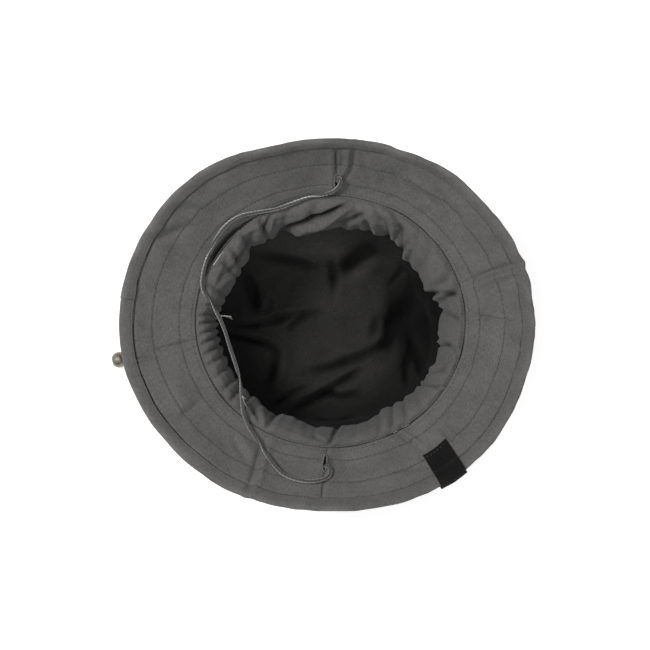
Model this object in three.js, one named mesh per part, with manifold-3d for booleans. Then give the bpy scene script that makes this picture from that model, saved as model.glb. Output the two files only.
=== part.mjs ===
// Boonie hat lying on its crown, opening up. Millimetres, +Z up.
// +X is the front of the hat, -X the back with the gathered sweatband and the chin cord's ends,
// +Y and -Y the sides with the cord slits. z = 0 is the surface under the crown's top.
import * as THREE from 'three';
import { mergeVertices } from 'three/addons/utils/BufferGeometryUtils.js';
import Module from 'manifold-3d';

const wasm = await Module();
wasm.setup();

// Driving dimensions
const CROWN_HEIGHT = 92;
const SEAM = { x: 3.25, y: 2.75, halfX: 95.4, halfY: 89.4 }; // seam of crown and brim, a 58 cm head
const EDGE = { halfX: 142.3, halfY: 125.6 }; // outline of the brim under its binding, seen from above
const BRIM_WIDTH = 54; // along the cloth
const BRIM_CURVE = 1.2; // above 1 the brim starts flat and steepens
const CROWN_TAPER = 15; // how much smaller each half size is at the crown's top
const CLOTH = 0.6;
const LINING = 0.5;
const GAP = 0.3;
const SEAM_ANGLES = { left: 87.3, right: -91.6 }; // side seams of the brim, degrees
const SLIT = { along: 0.3, length: 15, width: 3.4 };
const BINDING_WIDTH = 9;
const TAB = { angle: -53.8, width: 18.5, length: 25, skew: 5.5 };
const BAND = { low: 52, height: 25, loops: 16, bulge: 1.8 };
const SWEATBAND_THICK = 1.4;
const CORD = 2.4;
const STEPS = 60; // steps round the brim

const TURN = 2 * Math.PI;
const rad = (degrees) => degrees * Math.PI / 180;
const v3 = (x, y, z) => new THREE.Vector3(x, y, z);

const hat = new THREE.Group();

const FINISH = {
  cloth: { color: 0x5b5959, roughness: 0.92, metalness: 0 },
  band: { color: 0x504e4e, roughness: 0.92, metalness: 0 },
  lining: { color: 0x2b2a29, roughness: 0.9, metalness: 0 },
  stiffener: { color: 0xd8d6d0, roughness: 0.95, metalness: 0 },
  elastic: { color: 0xe6e4df, roughness: 0.9, metalness: 0 },
  tab: { color: 0x232122, roughness: 0.85, metalness: 0 },
  label: { color: 0xf0efeb, roughness: 0.7, metalness: 0 },
  cord: { color: 0x777574, roughness: 0.8, metalness: 0 },
  ball: { color: 0xb0aca5, roughness: 0.3, metalness: 0.7 },
  lock: { color: 0x2a2a2b, roughness: 0.5, metalness: 0 },
  spring: { color: 0xb8b8b8, roughness: 0.35, metalness: 1 },
};

// Adds one named solid.
function add(name, finish, geometry) {
  const mesh = new THREE.Mesh(geometry, new THREE.MeshStandardMaterial(FINISH[finish]));
  mesh.name = name;
  hat.add(mesh);
  return mesh;
}

// Leaves only the merged positions, as booleans and closed solids need.
function clean(geometry) {
  geometry.deleteAttribute('normal');
  geometry.deleteAttribute('uv');
  return mergeVertices(geometry, 1e-4);
}

function solid(geometry) {
  const merged = clean(geometry.clone());
  return new wasm.Manifold(new wasm.Mesh({
    numProp: 3,
    vertProperties: new Float32Array(merged.attributes.position.array),
    triVerts: new Uint32Array(merged.index.array),
  }));
}

function toGeometry(manifold) {
  const mesh = manifold.getMesh();
  const geometry = new THREE.BufferGeometry();
  geometry.setAttribute('position', new THREE.BufferAttribute(mesh.vertProperties, 3));
  geometry.setIndex(new THREE.BufferAttribute(mesh.triVerts, 1));
  return geometry;
}

function cut(geometry, cutters) {
  return toGeometry(cutters.reduce((left, cutter) => left.subtract(solid(cutter)), solid(geometry)));
}

// Carries a closed outline of points round or along a path of stations. Each station is a list of
// Vector3, one for each outline point; the outline runs clockwise seen along the path.
function loft(stations, closed) {
  const count = stations[0].length;
  const spans = closed ? stations.length : stations.length - 1;
  const positions = stations.flat().flatMap((point) => [point.x, point.y, point.z]);
  const index = [];
  for (let i = 0; i < spans; i++) {
    const here = i * count;
    const next = ((i + 1) % stations.length) * count;
    for (let k = 0; k < count; k++) {
      const after = (k + 1) % count;
      index.push(here + k, here + after, next + k);
      index.push(here + after, next + after, next + k);
    }
  }
  if (!closed) {
    const outline = stations[0].map((_, k) => flatPoint(stations[0], k));
    for (const [a, b, c] of THREE.ShapeUtils.triangulateShape(outline, [])) {
      index.push(a, c, b);
      const end = (stations.length - 1) * count;
      index.push(end + a, end + b, end + c);
    }
  }
  const geometry = new THREE.BufferGeometry();
  geometry.setAttribute('position', new THREE.Float32BufferAttribute(positions, 3));
  geometry.setIndex(index);
  return outward(geometry);
}

// The point of an outline in the outline's own plane.
function flatPoint(outline, k) {
  const across = outline[1].clone().sub(outline[0]).normalize();
  const normal = v3(0, 0, 0);
  outline.forEach((point, i) => {
    const next = outline[(i + 1) % outline.length];
    normal.add(point.clone().cross(next));
  });
  const up = normal.normalize().cross(across);
  const offset = outline[k].clone().sub(outline[0]);
  return new THREE.Vector2(offset.dot(across), offset.dot(up));
}

// Turns every triangle over when the solid is inside out.
function outward(geometry) {
  const at = geometry.attributes.position;
  const index = geometry.index.array;
  let volume = 0;
  for (let i = 0; i < index.length; i += 3) {
    const [a, b, c] = [0, 1, 2].map((k) => v3().fromBufferAttribute(at, index[i + k]));
    volume += a.dot(b.cross(c));
  }
  if (volume < 0) {
    for (let i = 0; i < index.length; i += 3) {
      [index[i + 1], index[i + 2]] = [index[i + 2], index[i + 1]];
    }
  }
  return geometry;
}

// Stations from angle `from` to `to` in degrees, each made by section(angle in radians).
function sweep(from, to, steps, section) {
  const closed = Math.abs(to - from) >= 360;
  const stations = [];
  for (let i = 0; i < (closed ? steps : steps + 1); i++) {
    stations.push(section(rad(from + (to - from) * i / steps)));
  }
  return loft(stations, closed);
}

// ---------------------------------------------------------------- the hat's surfaces

// A point of the crown's wall: `inward` mm inside the seam's outline, at height z.
function wall(angle, inward, z) {
  const taper = CROWN_TAPER * (1 - z / CROWN_HEIGHT);
  return v3(
    SEAM.x + (SEAM.halfX - taper - inward) * Math.cos(angle),
    SEAM.y + (SEAM.halfY - taper - inward) * Math.sin(angle),
    z,
  );
}

// A point of the brim's middle: s is 0 at the seam and 1 at the edge. The brim keeps its cut width,
// so where it reaches out less it rises more.
function brimPoint(angle, s) {
  const inner = v3(SEAM.x + SEAM.halfX * Math.cos(angle), SEAM.y + SEAM.halfY * Math.sin(angle), 0);
  const outer = v3(EDGE.halfX * Math.cos(angle), EDGE.halfY * Math.sin(angle), 0);
  const reach = inner.distanceTo(outer);
  const rise = Math.sqrt(BRIM_WIDTH ** 2 - reach ** 2);
  const point = inner.lerp(outer, s);
  point.z = CROWN_HEIGHT + rise * Math.sign(s) * Math.abs(s) ** BRIM_CURVE;
  return point;
}

// The brim's directions at a point: out along the cloth, round it, and up through it.
function brimFrame(angle, s) {
  const at = brimPoint(angle, s);
  const out = brimPoint(angle, s + 0.01).sub(at).normalize();
  const around = brimPoint(angle + 0.01, s).sub(brimPoint(angle - 0.01, s)).normalize();
  const up = out.clone().cross(around).normalize();
  return { at, out, around, up };
}

// A point on the brim `distance` mm past the edge (negative is inside) and `height` mm off its middle.
function onBrim(angle, distance, height) {
  const { at, up } = brimFrame(angle, 1 + distance / BRIM_WIDTH);
  return at.addScaledVector(up, height);
}

// ---------------------------------------------------------------- brim

const INTERLINING = 0.25; // half its thickness
const CLOTH_LOW = INTERLINING + GAP;
const CLOTH_HIGH = CLOTH_LOW + CLOTH;

// A closed section of one brim layer between two heights off the brim's middle.
function layerSection(angle, low, high) {
  const stops = [0.028, 0.34, 0.67, 1];
  const top = stops.map((s) => onBrim(angle, (s - 1) * BRIM_WIDTH, high));
  const bottom = stops.map((s) => onBrim(angle, (s - 1) * BRIM_WIDTH, low));
  return [...top, ...bottom.reverse()];
}

// A block along the brim's own directions, for cutting a cord slit through every layer.
function slitCutter(degrees) {
  const { at, out, around, up } = brimFrame(rad(degrees), SLIT.along);
  const box = new THREE.BoxGeometry(SLIT.length, SLIT.width, 4 * CLOTH_HIGH);
  return box.applyMatrix4(new THREE.Matrix4().makeBasis(out, around, up).setPosition(at));
}

const slits = [slitCutter(SEAM_ANGLES.left), slitCutter(SEAM_ANGLES.right)];
const SEAM_GAP = 0.1; // degrees on each side of a side seam
const panels = {
  front: [SEAM_ANGLES.right + SEAM_GAP, SEAM_ANGLES.left - SEAM_GAP],
  back: [SEAM_ANGLES.left + SEAM_GAP, SEAM_ANGLES.right + 360 - SEAM_GAP],
};

function brimLayers() {
  for (const [side, [from, to]] of Object.entries(panels)) {
    const under = sweep(from, to, STEPS / 2, (a) => layerSection(a, CLOTH_LOW, CLOTH_HIGH));
    const upper = sweep(from, to, STEPS / 2, (a) => layerSection(a, -CLOTH_HIGH, -CLOTH_LOW));
    add(`brim_under_${side}`, 'cloth', cut(under, slits));
    add(`brim_upper_${side}`, 'cloth', cut(upper, slits));
  }
  const middle = sweep(0, 360, STEPS, (a) => layerSection(a, -INTERLINING, INTERLINING));
  add('brim_interlining', 'stiffener', cut(middle, slits));
}

// What lies on the brim clears the flats between its stations.
const BINDING_LOW = CLOTH_HIGH + 1.7 * GAP;
const BINDING_HIGH = BINDING_LOW + CLOTH;

// The tape folded over the brim's edge.
function edgeBinding() {
  const inner = BINDING_LOW;
  const outer = BINDING_HIGH;
  const fold = 2 * GAP + CLOTH;
  const outline = [
    [-BINDING_WIDTH, inner], [-BINDING_WIDTH, outer], [0, outer], [fold, inner * 0.8],
    [fold, -inner * 0.8], [0, -outer], [-BINDING_WIDTH, -outer], [-BINDING_WIDTH, -inner],
    [2 * GAP, -inner], [2 * GAP, inner],
  ];
  add('edge_binding', 'cloth', sweep(0, 360, STEPS, (a) => outline.map(([d, h]) => onBrim(a, d, h))));
}

// A short length of tape folded over the edge and its binding, and stitched down.
function edgeTab() {
  const near = BINDING_LOW;
  const step = BINDING_HIGH + GAP;
  const tip = 4 * GAP + CLOTH;
  const half = [
    [tip + CLOTH, near + 0.3], [0, step + CLOTH], [-BINDING_WIDTH - 1.2, step + CLOTH],
    [-BINDING_WIDTH - 3, near + CLOTH], [-TAB.length, near + CLOTH], [-TAB.length, near],
    [-BINDING_WIDTH - 2.6, near], [-BINDING_WIDTH - 0.8, step], [0, step], [tip, near],
  ];
  const mirrored = half.map(([d, h]) => [d, -h]).reverse();
  const outline = [...half, ...mirrored];
  const radius = (EDGE.halfX + EDGE.halfY) / 2;
  const stations = [];
  const across = 4;
  for (let i = 0; i <= across; i++) {
    const side = TAB.width * (i / across - 0.5);
    stations.push(outline.map(([d, h]) => {
      const skewed = side - d * Math.tan(rad(TAB.skew));
      return onBrim(rad(TAB.angle) + skewed / (radius + d * 0.6), d, h);
    }));
  }
  add('edge_tab', 'tab', loft(stations, false));
}

// The stitched frame round a cord slit, on the brim's underside.
function slitWelt(name, degrees) {
  const outline = new THREE.Shape();
  const end = SLIT.length / 2 - 1;
  outline.absarc(end, 0, 2.9, -Math.PI / 2, Math.PI / 2, false);
  outline.absarc(-end, 0, 2.9, Math.PI / 2, Math.PI * 1.5, false);
  const hole = new THREE.Path();
  hole.absarc(end, 0, 1.7, -Math.PI / 2, Math.PI / 2, false);
  hole.absarc(-end, 0, 1.7, Math.PI / 2, Math.PI * 1.5, false);
  outline.holes.push(hole);
  const frame = new THREE.ExtrudeGeometry(outline, { depth: CLOTH, bevelEnabled: false, curveSegments: 6 });
  const radius = brimPoint(rad(degrees), SLIT.along).setZ(0).length();
  const at = frame.attributes.position;
  for (let i = 0; i < at.count; i++) {
    const distance = (SLIT.along - 1) * BRIM_WIDTH + at.getX(i);
    const height = CLOTH_HIGH + 2 * GAP + at.getZ(i);
    at.setXYZ(i, ...onBrim(rad(degrees) + at.getY(i) / radius, distance, height));
  }
  add(name, 'cloth', clean(frame));
}

// ---------------------------------------------------------------- crown and lining

const CROWN_STEPS = 48;
const SHELL_OUT = 0.2; // the crown's cloth lies this far inside the seam's outline
const LINING_OUT = SHELL_OUT + CLOTH + GAP;
const TOP_THICK = 0.9;

// A wall panel between two insets and two heights.
function wallSection(angle, outer, inner, low, high) {
  const middle = (low + high) / 2;
  return [
    wall(angle, outer, low), wall(angle, outer, middle), wall(angle, outer, high),
    wall(angle, inner, high), wall(angle, inner, middle), wall(angle, inner, low),
  ];
}

// An oval disc following the wall's outline at its own height.
function ovalDisc(inset, low, thick) {
  const outline = new THREE.Shape();
  const rim = wall(0, inset, low);
  const side = wall(Math.PI / 2, inset, low);
  outline.absellipse(SEAM.x, SEAM.y, rim.x - SEAM.x, side.y - SEAM.y, 0, TURN, false, 0);
  const disc = new THREE.ExtrudeGeometry(outline, { depth: thick, bevelEnabled: false, curveSegments: CROWN_STEPS });
  return clean(disc.translate(0, 0, low));
}

function crown() {
  add('crown_top', 'cloth', ovalDisc(SHELL_OUT, 0, TOP_THICK));
  const low = TOP_THICK + GAP;
  const high = CROWN_HEIGHT + CLOTH_HIGH;
  for (const [side, [from, to]] of Object.entries(panels)) {
    const section = (a) => wallSection(a, SHELL_OUT, SHELL_OUT + CLOTH, low, high);
    add(`crown_side_${side}`, 'cloth', sweep(from, to, CROWN_STEPS / 2, section));
  }
}

function lining() {
  const floor = TOP_THICK + GAP;
  add('lining_top', 'lining', ovalDisc(LINING_OUT, floor, LINING));
  const low = floor + LINING + GAP;
  const high = CROWN_HEIGHT - 3;
  const section = (a) => wallSection(a, LINING_OUT, LINING_OUT + LINING, low, high);
  add('lining_side', 'lining', sweep(0, 360, CROWN_STEPS, section));
}

// The sweatband turns in from the seam and hangs down inside the crown. Each stop is how far in and
// how far below the seam its middle lies.
const SWEATBAND = [[2.4, 0.9], [5.5, 1.5], [9, -1], [11.8, -7], [13.8, -15], [15.3, -24]];

function sweatbandPoint(angle, k, offset) {
  const ruffle = 1.1 * Math.sin(11 * angle) * (k / (SWEATBAND.length - 1)) ** 2;
  const before = SWEATBAND[Math.max(k - 1, 0)];
  const after = SWEATBAND[Math.min(k + 1, SWEATBAND.length - 1)];
  const length = Math.hypot(after[0] - before[0], after[1] - before[1]);
  const normal = [-(after[1] - before[1]) / length, (after[0] - before[0]) / length];
  const inward = SWEATBAND[k][0] + ruffle + normal[0] * offset;
  const z = CROWN_HEIGHT + SWEATBAND[k][1] + normal[1] * offset;
  return v3(
    SEAM.x + (SEAM.halfX - inward) * Math.cos(angle),
    SEAM.y + (SEAM.halfY - inward) * Math.sin(angle),
    z,
  );
}

function sweatband() {
  const stops = SWEATBAND.map((_, k) => k);
  const half = SWEATBAND_THICK / 2;
  add('sweatband', 'band', sweep(0, 360, 66, (a) => [
    ...stops.map((k) => sweatbandPoint(a, k, half)),
    ...stops.slice().reverse().map((k) => sweatbandPoint(a, k, -half)),
  ]));
  // The elastic that gathers the band at the back lies behind its lower part.
  const stretch = [3, 4, 5];
  const near = -half - GAP - 0.1;
  add('sweatband_elastic', 'elastic', sweep(120, 240, 22, (a) => [
    ...stretch.map((k) => sweatbandPoint(a, k, near)),
    ...stretch.slice().reverse().map((k) => sweatbandPoint(a, k, near - 0.8)),
  ]));
}

// A folded label sewn to the lining behind the sweatband, standing on edge towards the opening.
function careLabel() {
  const size = { reach: 17, thick: 0.8, height: 22 };
  const box = new THREE.BoxGeometry(size.reach, size.thick, size.height);
  const at = wall(rad(177), LINING_OUT + LINING + GAP, CROWN_HEIGHT - 38);
  box.rotateX(rad(8));
  box.translate(at.x + size.reach / 2 + 2.6, at.y, at.z);
  add('care_label', 'label', clean(box));
}

// Tape sewn round the crown at even steps, standing off in a loop between each two tacks.
function foliageBand() {
  const perLoop = 6;
  const section = (a) => {
    const bulge = BAND.bulge * Math.sin(a * BAND.loops / 2) ** 2;
    const inner = SHELL_OUT - GAP - bulge;
    return wallSection(a, inner - CLOTH - 0.3, inner, BAND.low, BAND.low + BAND.height);
  };
  add('foliage_band', 'cloth', sweep(0, 360, BAND.loops * perLoop, section));
}

// ---------------------------------------------------------------- chin cord, lock and end ball

const BALL = { x: -155.8, y: -22.6, z: 6.2, radius: 6 };
const CORD_HEADING = rad(190); // the cord's two ends run out at the back in this direction
const OUT = v3(Math.cos(CORD_HEADING), Math.sin(CORD_HEADING), 0);
const ACROSS = v3(-OUT.y, OUT.x, 0);
const STRAND_APART = CORD + GAP;
const LOCK_BACK = 34; // from the ball's middle to the lock's

// A point `back` mm from the ball's middle towards the hat, `side` mm across the two strands.
function onLead(back, side) {
  return v3(BALL.x, BALL.y, BALL.z).addScaledVector(OUT, -back).addScaledVector(ACROSS, side);
}

// Extrudes the cord's round section along a route, with a station at each of the route's points.
function tube(route, radius = CORD / 2, sides = 8) {
  const curve = new THREE.CatmullRomCurve3(route.map(([x, y, z]) => v3(x, y, z)), false, 'centripetal');
  curve.getUtoTmapping = (u) => u;
  const steps = route.length - 1;
  const section = new THREE.Shape();
  for (let k = 0; k < sides; k++) {
    const a = TURN * k / sides;
    const place = [radius * Math.cos(a), radius * Math.sin(a)];
    if (k === 0) section.moveTo(...place);
    else section.lineTo(...place);
  }
  section.closePath();
  return clean(new THREE.ExtrudeGeometry(section, { steps, bevelEnabled: false, extrudePath: curve }));
}

// The stretch over the underside of the brim and across the opening, from slit to slit.
const LOOP_ROUTE = [
  [7.4, 100.9, 100.4], [7.4, 100.7, 104], [7, 102, 108.6], [5.2, 103.6, 111.6],
  [3, 103, 110], [2.1, 100, 105.8], [1.6, 96.8, 101.4], [-0.6, 95, 98.9],
  [-3.5, 94, 97.2], [-12, 92.4, 96.4], [-24.5, 87.5, 96.2], [-35, 83.2, 96.4],
  [-49, 79.4, 97.2], [-60, 76.8, 99.4], [-67.5, 72.4, 100.2], [-75, 64.6, 99.6],
  [-80.5, 55.3, 98.4], [-85.2, 42.8, 97.2], [-87.6, 29.2, 96.5], [-86, 22.8, 96.1],
  [-80.4, 14, 95.2], [-73.2, 0, 93], [-68, -16, 91], [-62.8, -32, 91],
  [-60.4, -41, 92.6], [-59.6, -50, 94.9], [-58.2, -62.2, 96.6], [-53.8, -72.8, 98],
  [-46.7, -83.4, 101.4], [-39.6, -94, 107], [-30.8, -103.6, 113.3], [-21.9, -109.5, 117.2],
  [-11.3, -111.5, 118.8], [-3, -110, 117.4], [2.2, -106.4, 113.8], [2.5, -102.6, 110],
  [1.3, -99.4, 107.4], [-0.5, -98.6, 105.4], [-1.1, -99.7, 103.6], [-1.1, -100.6, 102.7],
];
const LEFT_ROUTE = [
  [7.4, 101.5, 99.5], [7.4, 103, 97.4], [7.3, 104.4, 92], [7.2, 105.4, 74], [6.6, 106, 50],
  [5.6, 106.6, 26], [3.4, 107.2, 9], [-2, 107.8, 2.4], [-10, 107.6, 1.4], [-28, 104.4, 1.4],
  [-50, 96, 1.4], [-70, 81, 1.4], [-83, 60, 1.4], [-88.5, 36, 1.4], [-89.6, 14, 1.5],
  [-91.2, 2.4, 2.4], [-93.4, -5, 4.3],
];
const RIGHT_ROUTE = [
  [-1.1, -100.8, 102.4], [-1.1, -102.6, 99.8], [-0.9, -104, 94], [0, -105.2, 72],
  [0, -106, 48], [-0.8, -106.4, 26], [-3.2, -106.6, 9], [-9, -106.4, 2.4], [-17, -105.4, 1.4],
  [-36, -100, 1.4], [-56, -89.6, 1.4], [-73, -74, 1.4], [-84.4, -56, 1.4], [-89.4, -40, 1.5],
  [-91, -28.4, 2.4], [-93.6, -19.8, 4.3],
];

// The straight end of a strand, through the lock and into the ball.
function leadEnd(side) {
  return [57, 40, 20, 0.8].map((back) => onLead(back, side).toArray());
}

function chinCord() {
  add('cord_loop', 'cord', tube(LOOP_ROUTE));
  add('cord_strand_left', 'cord', tube([...LEFT_ROUTE, ...leadEnd(-STRAND_APART / 2)]));
  add('cord_strand_right', 'cord', tube([...RIGHT_ROUTE, ...leadEnd(STRAND_APART / 2)]));
}

// Turns a shape made round the Y axis so that its Y runs across the strands.
function acrossStrands(geometry, centre) {
  const basis = new THREE.Matrix4().makeBasis(OUT, ACROSS, OUT.clone().cross(ACROSS));
  return geometry.applyMatrix4(basis.setPosition(centre));
}

// The ball that covers the knot: both strands enter it from inside, the knot sits in its far side.
function endBall() {
  const centre = onLead(0, 0);
  const place = new THREE.Matrix4().makeBasis(OUT, ACROSS, OUT.clone().cross(ACROSS)).setPosition(centre);
  const ball = new THREE.SphereGeometry(BALL.radius, 24, 14).applyMatrix4(place);
  const slot = new THREE.BoxGeometry(2 * BALL.radius, STRAND_APART + CORD + 2 * GAP, CORD + 2 * GAP);
  const recess = new THREE.CylinderGeometry(3.1, 3.1, BALL.radius, 16);
  recess.rotateZ(Math.PI / 2).translate(0.7 + BALL.radius / 2, 0, 0);
  slot.translate(-BALL.radius + 1, 0, 0);
  add('cord_end_ball', 'ball', cut(ball, [slot.applyMatrix4(place), recess.applyMatrix4(place)]));
  const knot = new THREE.IcosahedronGeometry(2.3, 1);
  knot.scale(1, 1.1, 0.95).translate(2.3 + 0.9, 0, 0);
  add('cord_knot', 'cord', clean(knot.applyMatrix4(place)));
}

const LOCK = {
  radius: 5.8, bore: 3.4, plunger: 3.1, rim: 4.5, closed: -8.5, floor: -7.3,
  travel: 1.5, cap: 4.2, capThick: 2.2, web: 0.8,
};
const WINDOW = STRAND_APART / 2 + CORD / 2 + GAP; // half the room that the two strands need
const WINDOW_HALF_HEIGHT = CORD / 2 + GAP;

// The barrel of the lock, closed at one end, with a bore for the plunger and a slot for the strands.
function lockBody(centre) {
  const profile = [
    [0, LOCK.closed], [3.2, LOCK.closed + 0.5], [5.1, LOCK.closed + 2.6], [LOCK.radius, -3],
    [LOCK.radius, 1.5], [4.9, LOCK.rim], [LOCK.bore, LOCK.rim], [LOCK.bore, LOCK.floor], [0, LOCK.floor],
  ].map(([r, y]) => new THREE.Vector2(r, y));
  const barrel = new THREE.LatheGeometry(profile, 24);
  const slot = new THREE.BoxGeometry(4 * LOCK.radius, 2 * WINDOW, 2 * WINDOW_HALF_HEIGHT);
  add('lock_body', 'lock', cut(acrossStrands(barrel, centre), [acrossStrands(slot, centre)]));
}

// The plunger, with a window long enough for its travel, and its cap outside the barrel.
function lockPlunger(centre) {
  const foot = -WINDOW - LOCK.web;
  const shoulder = LOCK.rim + LOCK.travel + GAP;
  const profile = [
    [0, foot], [LOCK.plunger, foot], [LOCK.plunger, shoulder], [LOCK.cap, shoulder],
    [LOCK.cap, shoulder + 1.2], [2.6, shoulder + LOCK.capThick], [0, shoulder + LOCK.capThick + 0.3],
  ].map(([r, y]) => new THREE.Vector2(r, y));
  const window = new THREE.BoxGeometry(4 * LOCK.radius, 2 * WINDOW + LOCK.travel, 2 * WINDOW_HALF_HEIGHT);
  window.translate(0, LOCK.travel / 2, 0);
  const stem = acrossStrands(new THREE.LatheGeometry(profile, 20), centre);
  add('lock_plunger', 'lock', cut(stem, [acrossStrands(window, centre)]));
}

function lockSpring(centre) {
  const turns = 3.5;
  const wire = 0.5;
  const low = LOCK.floor + wire / 2 + GAP;
  const high = -WINDOW - LOCK.web - wire / 2 - GAP;
  const points = 36;
  const route = [];
  for (let i = 0; i <= points; i++) {
    const a = TURN * turns * i / points;
    route.push([2.3 * Math.cos(a), low + (high - low) * i / points, 2.3 * Math.sin(a)]);
  }
  add('lock_spring', 'spring', acrossStrands(tube(route, wire / 2, 6), centre));
}

brimLayers();
edgeBinding();
edgeTab();
slitWelt('slit_welt_left', SEAM_ANGLES.left);
slitWelt('slit_welt_right', SEAM_ANGLES.right);
crown();
lining();
sweatband();
careLabel();
foliageBand();
chinCord();
endBall();
const lockCentre = onLead(LOCK_BACK, 0);
lockBody(lockCentre);
lockPlunger(lockCentre);
lockSpring(lockCentre);

export default hat;
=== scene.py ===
import math

import bpy
import numpy as np
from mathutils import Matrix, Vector


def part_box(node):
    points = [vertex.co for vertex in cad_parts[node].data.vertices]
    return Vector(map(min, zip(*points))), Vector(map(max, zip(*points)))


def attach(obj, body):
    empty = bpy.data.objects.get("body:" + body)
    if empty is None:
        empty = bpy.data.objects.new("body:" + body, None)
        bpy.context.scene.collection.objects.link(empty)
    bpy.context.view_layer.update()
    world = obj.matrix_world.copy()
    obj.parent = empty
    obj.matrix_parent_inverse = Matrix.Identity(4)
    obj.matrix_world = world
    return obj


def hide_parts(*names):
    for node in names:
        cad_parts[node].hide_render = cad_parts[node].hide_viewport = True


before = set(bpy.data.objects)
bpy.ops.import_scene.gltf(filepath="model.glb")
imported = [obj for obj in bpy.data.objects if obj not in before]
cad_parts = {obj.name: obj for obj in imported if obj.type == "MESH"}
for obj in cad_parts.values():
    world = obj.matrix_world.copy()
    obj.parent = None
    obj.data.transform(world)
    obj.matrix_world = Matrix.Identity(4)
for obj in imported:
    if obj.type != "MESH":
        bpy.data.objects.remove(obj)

mm = 0.001
TURN = 2 * math.pi
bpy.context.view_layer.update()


# ---------------------------------------------------------------- sizes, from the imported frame

def whole_box(*nodes):
    """Lowest and highest corner of several nodes together."""
    boxes = [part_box(node) for node in nodes]
    low = np.min([np.array(box[0]) for box in boxes], axis=0)
    high = np.max([np.array(box[1]) for box in boxes], axis=0)
    return low, high


wall_low, wall_high = whole_box("crown_side_front", "crown_side_back")
top_low, top_high = whole_box("crown_top")
binding_low, binding_high = whole_box("edge_binding")
lining_high = whole_box("lining_side")[1]
band_low, band_high = whole_box("foliage_band")

CLOTH = 0.6 * mm
SEAM_CENTRE = (wall_low[:2] + wall_high[:2]) / 2
SEAM_HALF = (wall_high[:2] - wall_low[:2]) / 2
SEAM_Z = lining_high[2] + 3 * mm
TOP_HALF = (top_high[:2] - top_low[:2]) / 2
BINDING_REACH = 1.8 * mm  # the binding's fold stands this far past the brim's own edge
EDGE_HALF = (binding_high[:2] - binding_low[:2]) / 2 - BINDING_REACH
EDGE_WAVES = (  # the brim's edge off a true oval, fitted and rounded: waves a turn, cosine mm, sine mm
    (0, 1.55, 0), (1, 0.35, -1.3), (2, 0.2, -1.05), (3, -0.4, 0.8),
    (4, -1.2, 0), (5, 0, -0.1), (6, 0.45, 0.45),
)
BRIM_WIDTH = 54 * mm
BRIM_CURVE = 1.2
BINDING_WIDTH = 7.3 * mm  # at its widest, on each face
LAYER_HIGH = 1.15 * mm  # the upper face of the under panels, over the brim's middle
SIDE_SEAMS = {"left": math.radians(87.3), "right": math.radians(-91.6)}
ROWS = (0.235, 0.595)  # shares of the brim's width at which its stitch rows run
SLIT_AT = 0.3  # share of the brim's width at the slits' middle
SLIT_LENGTH = 15 * mm
SLIT_OPEN = 1.15 * mm  # half the slits' width at their middle
SLIT_RADIUS = 103 * mm  # from here down, rounded distances that turn an angle into a length
SEAM_RADIUS = 110 * mm
EDGE_RADIUS = 130 * mm
OPENING_RADIUS = 85 * mm
CROWN_RADIUS = 88 * mm
LOOP_BAND_RADIUS = 92 * mm
TAB_ANGLE = math.radians(-53.8)
TAB_WIDTH = 18.5 * mm
TAB_LENGTH = 25 * mm
TAB_THICK = 0.9 * mm
TAB_SKEW = math.tan(math.radians(5.5))  # how far the tab leans along the edge


# ---------------------------------------------------------------- camera, light and floor

VIEW_DISTANCE = 1.2  # from the camera to the seam between crown and brim
VIEW_TILT = math.radians(2.5)
FIELD = 460.85 * mm  # the width that the view takes in at the seam
AIM_SHIFT = (-3.9 * mm, -2.84 * mm)  # the view's middle, off the middle of the seam
LIGHT_AIM = Vector((0, 0, 0.08))
LIGHTS = (  # name, place, size, watts
    ("key", (-0.9, 0.35, 1.35), 0.38, 15.5),
    ("overhead", (0.0, -0.1, 2.0), 0.8, 9.8),
    ("front_fill", (0.2, -1.7, 0.9), 1.0, 4),
    ("side_fill", (1.5, -0.2, 0.8), 1.0, 3),
)
SKY_LIGHT = 0.15
SKY_SEEN = 0.75  # added to the sky where the camera sees it, so that it looks white
FLOOR_WIDTH = 6.0
FLOOR_GREY = 0.93
FLOOR_GLOW = 0.6


def make_camera():
    """A long lens looking almost straight down into the hat, leaning a little towards +Y."""
    data = bpy.data.cameras.new("camera")
    data.sensor_width = 36
    data.lens = 36 * VIEW_DISTANCE / FIELD
    data.clip_end = 20
    camera = bpy.data.objects.new("camera", data)
    aim = Vector((SEAM_CENTRE[0] + AIM_SHIFT[0], SEAM_CENTRE[1] + AIM_SHIFT[1], SEAM_Z))
    back = Vector((0, -math.sin(VIEW_TILT), math.cos(VIEW_TILT)))
    camera.location = aim + back * VIEW_DISTANCE
    camera.rotation_mode = "QUATERNION"
    camera.rotation_quaternion = (-back).to_track_quat("-Z", "Y")
    bpy.context.collection.objects.link(camera)
    bpy.context.scene.camera = camera


def make_light(name, place, size, power):
    """A square soft box that faces the hat."""
    data = bpy.data.lights.new(name, "AREA")
    data.size = size
    data.energy = power
    light = bpy.data.objects.new(name, data)
    light.location = place
    light.rotation_mode = "QUATERNION"
    light.rotation_quaternion = (Vector(place) - LIGHT_AIM).to_track_quat("Z", "Y")
    bpy.context.collection.objects.link(light)


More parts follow.
